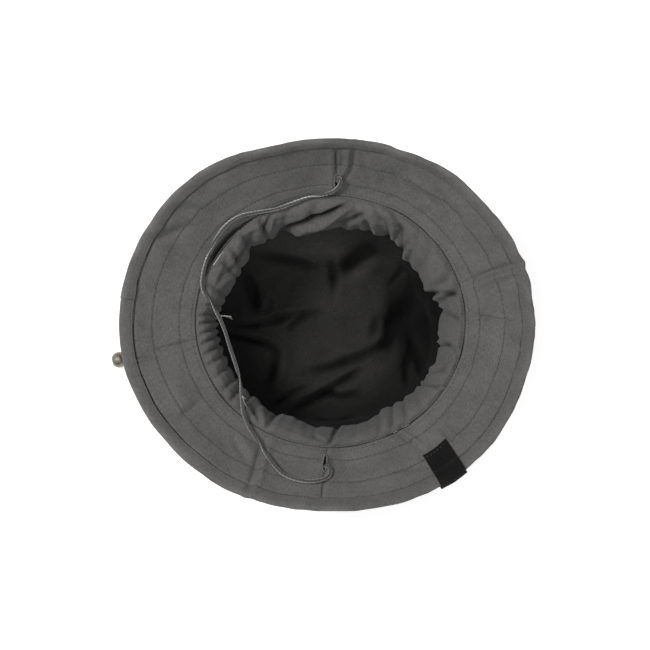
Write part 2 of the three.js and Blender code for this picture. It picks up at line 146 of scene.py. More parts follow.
def make_studio():
    """Pale floor, even sky and four soft boxes."""
    bpy.context.scene.view_settings.view_transform = "Standard"
    world = bpy.data.worlds.new("studio")
    bpy.context.scene.world = world
    world.use_nodes = True
    sky = world.node_tree.nodes["Background"]
    sky.inputs["Color"].default_value = (1, 1, 1, 1)
    sky_tree = world.node_tree
    seen = add(sky_tree, "ShaderNodeLightPath").outputs["Is Camera Ray"]
    sky_tree.links.new(maths(sky_tree, "MULTIPLY_ADD", seen, SKY_SEEN, SKY_LIGHT), sky.inputs["Strength"])
    for light in LIGHTS:
        make_light(*light)
    bpy.ops.mesh.primitive_plane_add(size=FLOOR_WIDTH)
    floor = bpy.context.object
    floor.name = "floor"
    material = bpy.data.materials.new("floor")
    material.use_nodes = True
    shader = material.node_tree.nodes["Principled BSDF"]
    shader.inputs["Base Color"].default_value = (FLOOR_GREY, FLOOR_GREY, FLOOR_GREY, 1)
    shader.inputs["Roughness"].default_value = 0.9
    shader.inputs["Emission Color"].default_value = (1, 1, 1, 1)
    shader.inputs["Emission Strength"].default_value = FLOOR_GLOW
    floor.data.materials.append(material)


make_camera()


# ---------------------------------------------------------------- meshes

def new_object(name, points, faces, uv=None, wear_and_painted_light=None):
    """A mesh object from its vertices, its quads, a UV for each corner and a mark for each vertex: rubbed
    cloth and painted highlight above 0, painted shade below 0.
    """
    mesh = bpy.data.meshes.new(name)
    count = len(faces)
    mesh.vertices.add(len(points))
    mesh.vertices.foreach_set("co", np.asarray(points, np.float32).ravel())
    mesh.loops.add(4 * count)
    mesh.loops.foreach_set("vertex_index", np.asarray(faces, np.int32).ravel())
    mesh.polygons.add(count)
    mesh.polygons.foreach_set("loop_start", np.arange(count, dtype=np.int32) * 4)
    mesh.polygons.foreach_set("use_smooth", np.ones(count, dtype=bool))
    mesh.update(calc_edges=True)
    if uv is not None:
        layer = mesh.uv_layers.new(name="cloth")
        layer.data.foreach_set("uv", np.asarray(uv, np.float32).ravel())
    mark = mesh.attributes.new("wear_and_painted_light", "FLOAT", "POINT")
    values = np.zeros(len(points)) if wear_and_painted_light is None else wear_and_painted_light
    mark.data.foreach_set("value", np.asarray(values, np.float32).ravel())
    mesh.validate()
    piece = bpy.data.objects.new(name, mesh)
    bpy.context.collection.objects.link(piece)
    return piece


def quads(rows, columns, wrap_rows, wrap_columns=False):
    """Corner numbers (row, column) of every quad of a grid, not yet wrapped round."""
    i, j = np.meshgrid(
        np.arange(rows if wrap_rows else rows - 1),
        np.arange(columns if wrap_columns else columns - 1),
        indexing="ij",
    )
    i, j = i.ravel(), j.ravel()
    return np.stack([i, i + 1, i + 1, i], 1), np.stack([j, j, j + 1, j + 1], 1)


def shell(name, face, back, uv, wrap=False, wear_and_painted_light=None):
    """A cloth solid between two grids of the same shape, walled along its free borders.

    Rows run along the piece and columns across it; the face looks along row step x column step.
    uv has one row more than the grids when the rows close on themselves."""
    rows, columns = face.shape[:2]
    size = rows * columns
    points = np.concatenate([face.reshape(-1, 3), back.reshape(-1, 3)])
    i, j = quads(rows, columns, wrap)
    number = (i % rows) * columns + j
    corners = [uv[i, j], uv[i, j][:, ::-1]]
    faces = [number, size + number[:, ::-1]]

    def wall(a, b):
        """One strip of wall between two runs of border points, each given as (rows, columns)."""
        first = (a[0] % rows) * columns + a[1]
        second = (b[0] % rows) * columns + b[1]
        faces.append(np.stack([first, size + first, size + second, second], 1))
        here, there = uv[a[0], a[1]], uv[b[0], b[1]]
        corners.append(np.stack([here, here, there, there], 1))

    along = np.arange(rows if wrap else rows - 1)
    low, high = np.zeros_like(along), np.full_like(along, columns - 1)
    wall((along, low), (along + 1, low))
    wall((along + 1, high), (along, high))
    if not wrap:
        across = np.arange(columns - 1)
        first, last = np.zeros_like(across), np.full_like(across, rows - 1)
        wall((first, across + 1), (first, across))
        wall((last, across), (last, across + 1))
    marks = None if wear_and_painted_light is None else np.concatenate([wear_and_painted_light.ravel(), wear_and_painted_light.ravel()])
    return new_object(name, points, np.concatenate(faces), np.concatenate(corners), marks)


def tube(name, rings, uv, wear_and_painted_light=None):
    """A closed tube through rings of points, with a fan of quads closing each end."""
    rows, columns = rings.shape[:2]
    points = np.concatenate([rings.reshape(-1, 3), rings[0].mean(0)[None], rings[-1].mean(0)[None]])
    i, j = quads(rows, columns, False, True)
    faces = [i * columns + j % columns]
    corners = [uv[i, j]]
    k = np.arange(0, columns, 2)
    for row, centre, flip in ((0, rows * columns, True), (rows - 1, rows * columns + 1, False)):
        ring = row * columns
        spokes = [ring + (k + step) % columns for step in range(3)]
        fan = np.stack(spokes + [np.full_like(k, centre)], 1)
        faces.append(fan[:, ::-1] if flip else fan)
        corners.append(np.broadcast_to(uv[row, 0], (len(k), 4, 2)))
    marks = None if wear_and_painted_light is None else np.concatenate([wear_and_painted_light.ravel(), [0, 0]])
    return new_object(name, points, np.concatenate(faces), np.concatenate(corners), marks)


def closed_ring(name, rings, uv_step=0.4 * mm):
    """A tube that closes on itself both ways."""
    rows, columns = rings.shape[:2]
    i, j = quads(rows, columns, True, True)
    faces = (i % rows) * columns + j % columns
    uv = np.stack([i * uv_step, j * 0.5 * mm], -1)
    return new_object(name, rings.reshape(-1, 3), faces, uv)


def swept(centre, side, up, wide, high, ring):
    """Rings of points round a line of centres: wide along side and high along up."""
    across = (wide * np.cos(ring))[..., None]
    upward = (high * np.sin(ring))[..., None]
    return centre[:, None] + side[:, None] * across + up[:, None] * upward


def disc_grid(count):
    """A square grid (u, v) pulled into a disc, so that it has no pole:
    x = u * sqrt(1 - v * v / 2) and y = v * sqrt(1 - u * u / 2)."""
    u, v = np.meshgrid(np.linspace(-1, 1, count), np.linspace(-1, 1, count), indexing="ij")
    return u * np.sqrt(1 - v * v / 2), v * np.sqrt(1 - u * u / 2)


def noise(x, y, cell, seed):
    """Smooth random hills: random heights on a square lattice, blended between its points."""
    table = np.random.default_rng(seed).uniform(-1, 1, (97, 97))
    u, v = np.asarray(x) / cell, np.asarray(y) / cell
    iu, iv = np.floor(u).astype(int), np.floor(v).astype(int)
    fu, fv = u - iu, v - iv
    fu, fv = fu * fu * (3 - 2 * fu), fv * fv * (3 - 2 * fv)
    at = lambda a, b: table[a % 97, b % 97]
    low = at(iu, iv) * (1 - fu) + at(iu + 1, iv) * fu
    high = at(iu, iv + 1) * (1 - fu) + at(iu + 1, iv + 1) * fu
    return low * (1 - fv) + high * fv


def crease(x, y, points, width, depth, lip=0.45):
    """A fold pressed into cloth along a smooth chain of points (mm): a bell-shaped valley with a lower
    lip on its left side, fading out towards both ends."""
    chain, total = smooth_curve(np.array(points, float) * mm, 3 * len(points) + 1)
    reach = 5 * width * mm
    low, high = chain.min(0) - reach, chain.max(0) + reach
    near = (x > low[0]) & (x < high[0]) & (y > low[1]) & (y < high[1])
    px, py = x[near], y[near]
    best, share, run = np.full(px.shape, 1e9), np.zeros(px.shape), 0.0
    for start, end in zip(chain[:-1], chain[1:]):
        step = np.linalg.norm(end - start)
        unit = (end - start) / step
        dx, dy = px - start[0], py - start[1]
        t = np.clip(dx * unit[0] + dy * unit[1], 0, step)
        away = np.hypot(dx - unit[0] * t, dy - unit[1] * t)
        nearer = away < np.abs(best)
        best = np.where(nearer, np.where(unit[0] * dy < unit[1] * dx, -away, away), best)
        share = np.where(nearer, (run + t) / total, share)
        run += step
    fade = np.sin(np.pi * np.clip(share, 0.02, 0.98)) ** 0.6
    valley = np.exp(-((best / (width * mm)) ** 2))
    ridge = lip * np.exp(-(((best - 1.9 * width * mm) / (1.3 * width * mm)) ** 2))
    pressed = np.zeros(np.shape(x))
    pressed[near] = depth * mm * fade * (ridge - valley)
    return pressed


def smooth_curve(points, count):
    """A smooth curve through points: count evenly spaced places along it, and its length."""
    points = np.asarray(points, float)
    ends = np.concatenate([2 * points[:1] - points[1:2], points, 2 * points[-1:] - points[-2:-1]])
    knots = np.concatenate([[0], np.cumsum(np.linalg.norm(np.diff(ends, axis=0), axis=1) ** 0.5)])
    pieces = []
    for k in range(1, len(ends) - 2):
        t = np.linspace(knots[k], knots[k + 1], 24, endpoint=False)[:, None]
        p0, p1, p2, p3 = ends[k - 1:k + 3]
        t0, t1, t2, t3 = knots[k - 1:k + 3]
        a1 = (t1 - t) / (t1 - t0) * p0 + (t - t0) / (t1 - t0) * p1
        a2 = (t2 - t) / (t2 - t1) * p1 + (t - t1) / (t2 - t1) * p2
        a3 = (t3 - t) / (t3 - t2) * p2 + (t - t2) / (t3 - t2) * p3
        b1 = (t2 - t) / (t2 - t0) * a1 + (t - t0) / (t2 - t0) * a2
        b2 = (t3 - t) / (t3 - t1) * a2 + (t - t1) / (t3 - t1) * a3
        pieces.append((t2 - t) / (t2 - t1) * b1 + (t - t1) / (t2 - t1) * b2)
    dense = np.concatenate(pieces + [points[-1:]])
    run = np.concatenate([[0], np.cumsum(np.linalg.norm(np.diff(dense, axis=0), axis=1))])
    even = np.linspace(0, run[-1], count)
    return np.stack([np.interp(even, run, dense[:, k]) for k in range(dense.shape[1])], 1), run[-1]


def settle(piece, material, *nodes, body="hat", slot="cloth"):
    """Gives a finished piece its material and its body, and hides the CAD nodes it stands for; its slot is
    not used.
    """
    piece.data.materials.append(material)
    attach(piece, body)
    if nodes:
        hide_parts(*nodes)
    return piece


# ---------------------------------------------------------------- the hat's own surfaces

def polar(angle):
    """Cosine and sine of an angle as the last axis."""
    return np.stack([np.cos(angle), np.sin(angle)], -1)


def outwards(angle):
    """The level way out from the crown's middle at an angle."""
    return np.stack([np.cos(angle), np.sin(angle), 0 * angle], -1)


def upwards(count):
    """The way straight up, count times over."""
    return np.tile([0.0, 0.0, 1.0], (count, 1))


def brim_radius(share):
    """About how far the side seams are from the brim's middle, at a share of its width."""
    return (93 + 33 * share) * mm


def wall(angle, inward, z):
    """A point on the crown's tapering wall: an oval that shrinks evenly from the seam down to the top."""
    taper = (SEAM_HALF[0] - TOP_HALF[0]) * (1 - z / SEAM_Z)
    half = SEAM_HALF - (taper + inward)[..., None]
    plan = SEAM_CENTRE + half * polar(angle)
    return np.concatenate([plan, (z + 0 * angle)[..., None]], -1)


def brim(angle, share):
    """The brim's middle: straight in plan from the seam's oval to the edge's wavy oval, rising as
    share ** 1.2, so that the cloth keeps the same width all round."""
    stray = sum(c * np.cos(k * angle) + s * np.sin(k * angle) for k, c, s in EDGE_WAVES) * mm
    inner = SEAM_CENTRE + SEAM_HALF * polar(angle)
    outer = (EDGE_HALF + stray[..., None]) * polar(angle)
    reach = np.linalg.norm(outer - inner, axis=-1)
    rise = np.sqrt(BRIM_WIDTH ** 2 - reach ** 2)
    plan = inner + (outer - inner) * share[..., None]
    z = SEAM_Z + rise * np.sign(share) * np.abs(share) ** BRIM_CURVE
    return np.concatenate([plan, z[..., None]], -1)


BRIM_CREASES = (  # chain of points in mm, width, depth, lip; brim_relief scales width and depth
    ([(139, 42), (121, 38), (107, 33), (94, 28)], 2.8, 1.3, 0.8),
    ([(101, 8), (117, 4), (132, 1)], 1.4, 0.7, 0.6),
    ([(127, -5), (131, -10), (135, -17)], 1.3, 0.8, 0.8),
    ([(123, 10), (126, 3), (127, -5)], 1.2, 0.5, 0.5),
    ([(-88, -10), (-107, -15), (-124, -19)], 2.0, 0.9, 0.5),
    ([(-119, -22), (-128, -24), (-135, -25)], 0.9, 0.8, 0.9),
    ([(-42, -78), (-48, -96), (-51, -108), (-56, -121)], 3.0, 1.2, 0.8),
    ([(-66, -80), (-60, -88), (-54, -97)], 3.0, 0.7, 0.6),
    ([(58, 98), (69, 90), (81, 81)], 2.6, 1.1, 0.7),
    ([(76, 95), (84, 86), (90, 77)], 2.4, 0.9, 0.8),
    ([(46, 107), (52, 97), (60, 84)], 3.0, 0.9, 0.7),
    ([(90, 86), (94, 75), (97, 64)], 2.6, 0.8, 0.7),
    ([(24, 112), (30, 104), (34, 96)], 3.2, 0.7, 0.8),
    ([(-103, 82), (-90, 80), (-80, 77)], 3.5, 0.8, 0.6),
    ([(-126, 57), (-108, 64), (-94, 70)], 4.0, 0.7, 0.6),
    ([(50, -76), (58, -82), (68, -88)], 1.8, 0.9, 0.8),
    ([(80, -72), (85, -78), (91, -83)], 1.8, 0.9, 0.7),
    ([(97, -58), (106, -53), (114, -48)], 2.4, 0.7, 0.7),
    ([(96, -18), (103, -31), (110, -46)], 5.0, 0.9, 0.7),
    ([(45, -103), (57, -102), (71, -99)], 3.0, 0.6, 0.6),
    ([(-84, -52), (-95, -60), (-104, -70)], 4.0, 0.6, 0.6),
    ([(12, 100), (18, 109), (19, 120)], 2.2, 0.8, 0.8),
)


def brim_relief(at):
    """How far the brim's middle is pushed off its smooth surface: slow waves and handling creases."""
    x, y = at[..., 0], at[..., 1]
    relief = 1.3 * mm * noise(x, y, 38 * mm, 11) + 1.15 * mm * noise(x, y, 17 * mm, 12)
    relief = relief + 0.36 * mm * noise(x, y, 7 * mm, 13)
    relief = relief + 0.45 * mm * noise(0.3 * x, y, 4.5 * mm, 14) * np.clip((x + 10 * mm) / (110 * mm), 0, 1)
    for points, width, depth, lip in BRIM_CREASES:
        relief = relief + crease(x, y, points, 0.85 * width, 2.2 * depth, lip)
    return relief


def brim_frame(angle, share):
    """A place on the brim's middle, its way up towards the wearer's face and its way outwards."""
    step = 1e-4
    at = brim(angle, share)
    out = brim(angle, share + step) - brim(angle, share - step)
    around = brim(angle + step, share) - brim(angle - step, share)
    up = np.cross(out, around)
    up /= np.linalg.norm(up, axis=-1, keepdims=True)
    out /= np.linalg.norm(out, axis=-1, keepdims=True)
    return at, out, up


def on_brim(angle, share, height):
    """A place that stands off the brim's creased middle; past the edge it follows the way outwards."""
    angle, share, height = np.broadcast_arrays(
        np.asarray(angle, float), np.asarray(share, float), np.asarray(height, float)
    )
    at, out, up = brim_frame(angle, np.minimum(share, 1.0))
    past = np.maximum(share - 1.0, 0) * BRIM_WIDTH
    lift = height + brim_relief(at)
    return at + up * lift[..., None] + out * past[..., None]


def bell(distance, width):
    """1 at distance 0, next to nothing a few widths away."""
    return np.exp(-((distance / width) ** 2))


def binding_width(angle):
    """The binding's width on each face: narrower at the front, narrowest at the left side."""
    left, front = np.clip(np.sin(angle), 0, 1), np.clip(np.cos(angle), 0, 1)
    return BINDING_WIDTH - 2.3 * mm * left ** 2 - 0.6 * mm * front


def lens(angle):
    """1 in the middle of the stretch where the sweatband has come away from the brim, 0 outside it."""
    away = turned(angle, 142) / math.radians(19)
    return np.clip(1 - away ** 2, 0, 1)


def wrapped(angle):
    """The same angle, between minus and plus half a turn."""
    return (angle + math.pi) % TURN - math.pi


def turned(angle, centre):
    """Angle from a centre in degrees, the short way round, in radians."""
    return wrapped(angle - math.radians(centre))


def brim_pucker(angle, share, seed):
    """The small waves that sewing draws into cloth: along the rows, the seams and the binding."""
    along = angle * SEAM_RADIUS
    depth = np.zeros(np.shape(share))
    for row in ROWS:
        away = (share - row) * BRIM_WIDTH
        depth = depth - 0.22 * mm * bell(away, 0.8 * mm)
        depth = depth + 0.16 * mm * noise(along, away, 3.6 * mm, seed) * bell(away, 5 * mm)
    ditch = (share - 1) * BRIM_WIDTH + binding_width(angle) + 0.7 * mm
    depth = depth - 0.9 * mm * bell(ditch, 1.0 * mm)
    depth = depth + 0.3 * mm * noise(along, ditch, 5 * mm, seed + 1) * bell(ditch, 6 * mm)
    rim = share * BRIM_WIDTH - 2.4 * mm
    depth = depth - 0.25 * mm * bell(rim, 0.7 * mm)
    depth = depth + 0.14 * mm * noise(along, rim, 3.2 * mm, seed + 2) * bell(rim, 4 * mm)
    for seam in SIDE_SEAMS.values():
        away = wrapped(angle - seam) * (95 + 40 * share) * mm
        depth = depth - 0.7 * mm * bell(away, 1.3 * mm) + 0.4 * mm * bell(away - 3.4 * mm, 1.8 * mm)
        depth = depth + 0.35 * mm * bell(away, 9 * mm) * noise(share * BRIM_WIDTH, away, 5 * mm, seed + 3)
    return depth


def crush(angle, z):
    """How far the soft crown's wall is dented inwards: slow dents that die out at the seam."""
    free = np.clip((SEAM_Z - z) / SEAM_Z, 0, 1)
    weight = np.sin(np.pi * free) ** 0.8 + 0.25 * free
    around = 95 * mm * angle
    waves = 1.6 * np.sin(3 * angle + 0.6) + 1.2 * np.sin(5 * angle + 2 + 14 * z)
    waves = waves + 0.9 * np.sin(8 * angle - 22 * z)
    fold = 1.3 * noise(around, z, 21 * mm, 31) + 0.5 * noise(around + 0.4 * z, z, 9 * mm, 32)
    return mm * weight * (1.2 + 0.75 * waves + fold)


# ---------------------------------------------------------------- shader node groups and materials

def add(tree, kind, inputs=None, **settings):
    """Adds a node, sets its settings, and links or sets each named input."""
    node = tree.nodes.new(kind)
    for key, value in settings.items():
        setattr(node, key, value)
    for key, value in (inputs or {}).items():
        socket = node.inputs[key]
        if isinstance(value, bpy.types.NodeSocket):
            tree.links.new(value, socket)
        else:
            socket.default_value = value
    return node


def maths(tree, operation, a, b=0.0, c=0.0):
    """One Math node; returns its output socket."""
    return add(tree, "ShaderNodeMath", {0: a, 1: b, 2: c}, operation=operation).outputs[0]


def new_group(name, inputs, outputs):
    """An empty shader node group with named sockets; returns it with its input and output nodes."""
    group = bpy.data.node_groups.new(name, "ShaderNodeTree")
    for label, kind, value in inputs:
        socket = group.interface.new_socket(label, in_out="INPUT", socket_type=kind)
        if value is not None:
            socket.default_value = value
    for label, kind in outputs:
        group.interface.new_socket(label, in_out="OUTPUT", socket_type=kind)
    return group, group.nodes.new("NodeGroupInput"), group.nodes.new("NodeGroupOutput")


def weave_group():
    """Slanting twill ribs crossed by finer threads, each thread a little uneven."""
    group, given, made = new_group(
        "weave",
        [("Vector", "NodeSocketVector", None), ("Pitch", "NodeSocketFloat", 0.0007),
         ("Slant", "NodeSocketFloat", 1.0)],
        [("Height", "NodeSocketFloat"), ("Slub", "NodeSocketFloat"), ("Streak", "NodeSocketFloat")],
    )
    place = add(group, "ShaderNodeSeparateXYZ", {0: given.outputs["Vector"]})
    u = maths(group, "DIVIDE", place.outputs[0], given.outputs["Pitch"])
    v = maths(group, "DIVIDE", place.outputs[1], given.outputs["Pitch"])
    rib = maths(group, "SINE", maths(group, "MULTIPLY", maths(
        group, "MULTIPLY_ADD", v, given.outputs["Slant"], u), TURN))
    thread = maths(group, "SINE", maths(group, "MULTIPLY", v, 2 * TURN))
    slub = add(group, "ShaderNodeTexNoise", {
        "Vector": add(group, "ShaderNodeVectorMath", {0: given.outputs["Vector"], 1: (900, 260, 1)},
                      operation="MULTIPLY").outputs[0],
        "Scale": 1.0, "Detail": 3.0, "Roughness": 0.65}).outputs["Fac"]
    streaks = [
        add(group, "ShaderNodeTexNoise", {
            "Vector": add(group, "ShaderNodeVectorMath", {0: given.outputs["Vector"], 1: stretch},
                          operation="MULTIPLY").outputs[0],
            "Scale": 1.0, "Detail": 3.0, "Roughness": 0.7}).outputs["Fac"]
        for stretch in ((1500, 300, 1), (300, 1500, 1))
    ]
    group.links.new(maths(group, "MULTIPLY_ADD", streaks[0], 0.6, maths(group, "MULTIPLY", streaks[1], 0.4)),
                    made.inputs["Streak"])
    height = maths(group, "MULTIPLY_ADD", rib, 0.3, maths(group, "MULTIPLY_ADD", thread, 0.14, slub))
    group.links.new(height, made.inputs["Height"])
    group.links.new(slub, made.inputs["Slub"])
    return group


def mottle_group():
    """Uneven dyeing and handling: wide soft clouds with fine grain over them."""
    group, given, made = new_group(
        "mottle",
        [("Vector", "NodeSocketVector", None), ("Size", "NodeSocketFloat", 0.02),
         ("Grain", "NodeSocketFloat", 0.5)],
        [("Tone", "NodeSocketFloat")],
    )
    scale = maths(group, "DIVIDE", 1.0, given.outputs["Size"])
    cloud = add(group, "ShaderNodeTexNoise", {
        "Vector": given.outputs["Vector"], "Scale": scale, "Detail": 5.0, "Roughness": 0.6}).outputs["Fac"]
    grain = add(group, "ShaderNodeTexNoise", {
        "Vector": given.outputs["Vector"], "Scale": maths(group, "MULTIPLY", scale, 22.0),
        "Detail": 2.0, "Roughness": 0.7}).outputs["Fac"]
    tone = add(group, "ShaderNodeMix", {"Factor": given.outputs["Grain"], "A": cloud, "B": grain},
               data_type="FLOAT").outputs[0]
    group.links.new(tone, made.inputs["Tone"])
    return group


def wear_and_painted_light_group():
    """The piece's own marks: above 0 they are lighter, rubbed cloth on some pieces and a painted highlight on
    others, broken up by noise; below 0 they are painted shade in seams, folds and corners."""
    group, given, made = new_group(
        "wear_and_painted_light", [("Vector", "NodeSocketVector", None), ("Break", "NodeSocketFloat", 400.0)],
        [("Mask", "NodeSocketFloat"), ("PaintedShade", "NodeSocketFloat")],
    )
    mark = add(group, "ShaderNodeAttribute", attribute_name="wear_and_painted_light").outputs["Fac"]
    # Below 0 the mark is painted shade.
    group.links.new(add(group, "ShaderNodeClamp", {0: maths(group, "MULTIPLY", mark, -1.0)}).outputs[0],
                    made.inputs["PaintedShade"])
    patch = add(group, "ShaderNodeTexNoise", {
        "Vector": given.outputs["Vector"], "Scale": given.outputs["Break"], "Detail": 3.0}).outputs["Fac"]
    mask = maths(group, "MULTIPLY", mark, maths(group, "MULTIPLY_ADD", patch, 1.1, 0.35))
    group.links.new(add(group, "ShaderNodeClamp", {0: mask}).outputs[0], made.inputs["Mask"])
    return group


WEAVE = weave_group()
MOTTLE = mottle_group()
WEAR_AND_PAINTED_LIGHT = wear_and_painted_light_group()


def use(tree, group, **inputs):
    """Places a node group in a material with its own values."""
    return add(tree, "ShaderNodeGroup", inputs, node_tree=group)


def blend_colour(tree, factor, a, b):
    """One colour Mix node; returns its output socket."""
    node = add(tree, "ShaderNodeMix", data_type="RGBA")
    tree.links.new(factor, node.inputs["Factor"])
    for socket, value in ((node.inputs[6], a), (node.inputs[7], b)):
        if isinstance(value, bpy.types.NodeSocket):
            tree.links.new(value, socket)
        else:
            socket.default_value = value
    return node.outputs[2]


def spread(tree, value, low, high, start=0.0, end=1.0):
    """Stretches a value from one range to another, clamped."""
    return add(tree, "ShaderNodeMapRange", {0: value, 1: low, 2: high, 3: start, 4: end}).outputs[0]


def grey(value, warmth=0.0):
    """A colour from its screen brightness out of 255, a little warm or cool."""
    tone = ((value / 255 + 0.055) / 1.055) ** 2.4
    return (tone * (1 + warmth), tone, tone * (1 - warmth), 1)


def new_material(name):
    """A material with its Principled shader and its Object and UV coordinates."""
    material = bpy.data.materials.new(name)
    material.use_nodes = True
    tree = material.node_tree
    place = add(tree, "ShaderNodeTexCoord")
    return material, tree, tree.nodes["Principled BSDF"], place.outputs["Object"], place.outputs["UV"]


def cloth_material(name, dark, light, worn_and_painted_highlight, pitch=0.0007, slant=1.0, warmth=0.02, bump=0.35, sheen=0.12,
                   cloud=0.022, depth=0.00012, gloss=0.1):
    """Woven cotton: mottled dye, twill ribs in colour and bump, lighter where rubbed and where a highlight is
    painted, darker where shade is painted.
    """
    material, tree, shader, place, uv = new_material(name)
    weave = use(tree, WEAVE, Vector=uv, Pitch=pitch, Slant=slant)
    mottle = use(tree, MOTTLE, Vector=place, Size=cloud, Grain=0.2)
    wear_and_painted_light = use(tree, WEAR_AND_PAINTED_LIGHT, Vector=place, Break=420.0)
    tone = spread(tree, mottle.outputs["Tone"], 0.36, 0.64)
    base = blend_colour(tree, tone, grey(dark, warmth), grey(light, warmth))
    thread = spread(tree, weave.outputs["Height"], -0.1, 1.1, 0.0, 0.35)
    base = blend_colour(tree, thread, base, grey(light * 1.1, warmth))
    pale = spread(tree, weave.outputs["Streak"], 0.44, 0.68, 0.0, 0.6)
    base = blend_colour(tree, pale, base, grey(light * 1.24, warmth))
    deep = spread(tree, weave.outputs["Streak"], 0.5, 0.34, 0.0, 0.45)
    base = blend_colour(tree, deep, base, grey(dark * 0.76, warmth))
    # Lighter where rubbed and where highlights are painted; then painted shade, near black, in seams, folds
    # and corners.
    base = blend_colour(tree, wear_and_painted_light.outputs["Mask"], base, grey(worn_and_painted_highlight, warmth))
    base = blend_colour(tree, wear_and_painted_light.outputs["PaintedShade"], base, grey(dark * 0.26, warmth))
    tree.links.new(base, shader.inputs["Base Color"])
    tree.links.new(spread(tree, weave.outputs["Slub"], 0.3, 0.7, 0.82, 0.97), shader.inputs["Roughness"])
    shader.inputs["Sheen Weight"].default_value = sheen
    shader.inputs["Sheen Roughness"].default_value = 0.6
    shader.inputs["Specular IOR Level"].default_value = gloss
    relief = add(tree, "ShaderNodeBump", {
        "Strength": bump, "Distance": depth, "Height": weave.outputs["Height"]})
    tree.links.new(relief.outputs[0], shader.inputs["Normal"])
    return material


def thread_material(name, dark, light, warmth=0.02, edge=1.35):
    """Spun thread: fine twisted plies that run across the piece's own length."""
    material, tree, shader, place, uv = new_material(name)
    ply = use(tree, WEAVE, Vector=uv, Pitch=0.0005, Slant=1.6)
    mottle = use(tree, MOTTLE, Vector=place, Size=0.006, Grain=0.5)
    wear_and_painted_light = use(tree, WEAR_AND_PAINTED_LIGHT, Vector=place, Break=900.0)
    tone = spread(tree, mottle.outputs["Tone"], 0.36, 0.64)
    base = blend_colour(tree, tone, grey(dark, warmth), grey(light, warmth))
    # Lighter by the factor edge where painted highlights are marked; of the threads only the cord's braid
    # carries them.
    base = blend_colour(tree, wear_and_painted_light.outputs["Mask"], base, grey(light * edge, warmth))
    tree.links.new(base, shader.inputs["Base Color"])
    tree.links.new(spread(tree, ply.outputs["Slub"], 0.3, 0.7, 0.6, 0.8), shader.inputs["Roughness"])
    shader.inputs["Sheen Weight"].default_value = 0.3
    relief = add(tree, "ShaderNodeBump", {
        "Strength": 0.5, "Distance": 0.0001, "Height": ply.outputs["Height"]})
    tree.links.new(relief.outputs[0], shader.inputs["Normal"])
    return material


def plastic_material(name, dark, light):
    """Moulded plastic: a fine pebbled skin, slightly uneven gloss."""
    material, tree, shader, place, _ = new_material(name)
    mottle = use(tree, MOTTLE, Vector=place, Size=0.004, Grain=0.6)
    base = blend_colour(tree, spread(tree, mottle.outputs["Tone"], 0.35, 0.65), grey(dark), grey(light))
    tree.links.new(base, shader.inputs["Base Color"])
    tree.links.new(spread(tree, mottle.outputs["Tone"], 0.3, 0.7, 0.34, 0.5), shader.inputs["Roughness"])
    relief = add(tree, "ShaderNodeBump", {
        "Strength": 0.25, "Distance": 0.0001, "Height": mottle.outputs["Tone"]})
    tree.links.new(relief.outputs[0], shader.inputs["Normal"])
    return material


def metal_material(name, dark, light, warmth, rough):
    """Polished metal with faint tarnish clouds and fine scratches."""
    material, tree, shader, place, _ = new_material(name)
    mottle = use(tree, MOTTLE, Vector=place, Size=0.005, Grain=0.3)
    tone = spread(tree, mottle.outputs["Tone"], 0.35, 0.65)
    base = blend_colour(tree, tone, grey(dark, warmth), grey(light, warmth))
    tree.links.new(base, shader.inputs["Base Color"])
    polish = spread(tree, mottle.outputs["Tone"], 0.3, 0.7, rough, rough + 0.16)
    tree.links.new(polish, shader.inputs["Roughness"])
    shader.inputs["Metallic"].default_value = 1.0
    relief = add(tree, "ShaderNodeBump", {
        "Strength": 0.1, "Distance": 0.0001, "Height": mottle.outputs["Tone"]})
    tree.links.new(relief.outputs[0], shader.inputs["Normal"])
    return material


# The third grey is for rubbed cloth and for painted highlights.
CLOTH_GREY = cloth_material("grey_twill", 82, 99, 118)
BINDING_GREY = cloth_material("grey_binding", 80, 97, 122, slant=-1.0)
BAND_GREY = cloth_material("grey_sweatband_cloth", 77, 92, 108, pitch=0.0005, slant=0.0)
LINING_DARK = cloth_material(
    "dark_lining", 40, 50, 90, pitch=0.0011, slant=0.0, warmth=0.03, sheen=0.03, gloss=0.03)
STIFFENER = cloth_material("interlining", 84, 100, 110, slant=0.0)
TAB_BLACK = cloth_material("black_webbing", 15, 22, 36, pitch=0.0012, bump=0.6, warmth=0.01, sheen=0.05)
ELASTIC_RIB = cloth_material("ribbed_elastic", 60, 78, 90, pitch=0.0012, slant=0.0, bump=0.7)
LABEL_WHITE = cloth_material("woven_label", 228, 244, 250, pitch=0.0004, slant=0.0, sheen=0.1)
SEWING_THREAD = thread_material("sewing_thread", 44, 60)
LINING_THREAD = thread_material("lining_thread", 58, 78)
LOOSE_THREAD = thread_material("loose_thread", 150, 185)
WELT_THREAD = thread_material("welt_thread", 88, 122)
SEAM_THREAD = thread_material("seam_thread", 96, 124)
BLACK_THREAD = thread_material("black_thread", 34, 46)
# edge=3.1 makes the cord's painted highlights strong.
CORD_BRAID = thread_material("cord_braid", 50, 72, 0.01, edge=3.1)
LOCK_PLASTIC = plastic_material("lock_plastic", 26, 36)
BALL_METAL = metal_material("ball_metal", 104, 168, 0.09, 0.46)
SPRING_STEEL = metal_material("spring_steel", 150, 190, 0.0, 0.25)


# ---------------------------------------------------------------- cords

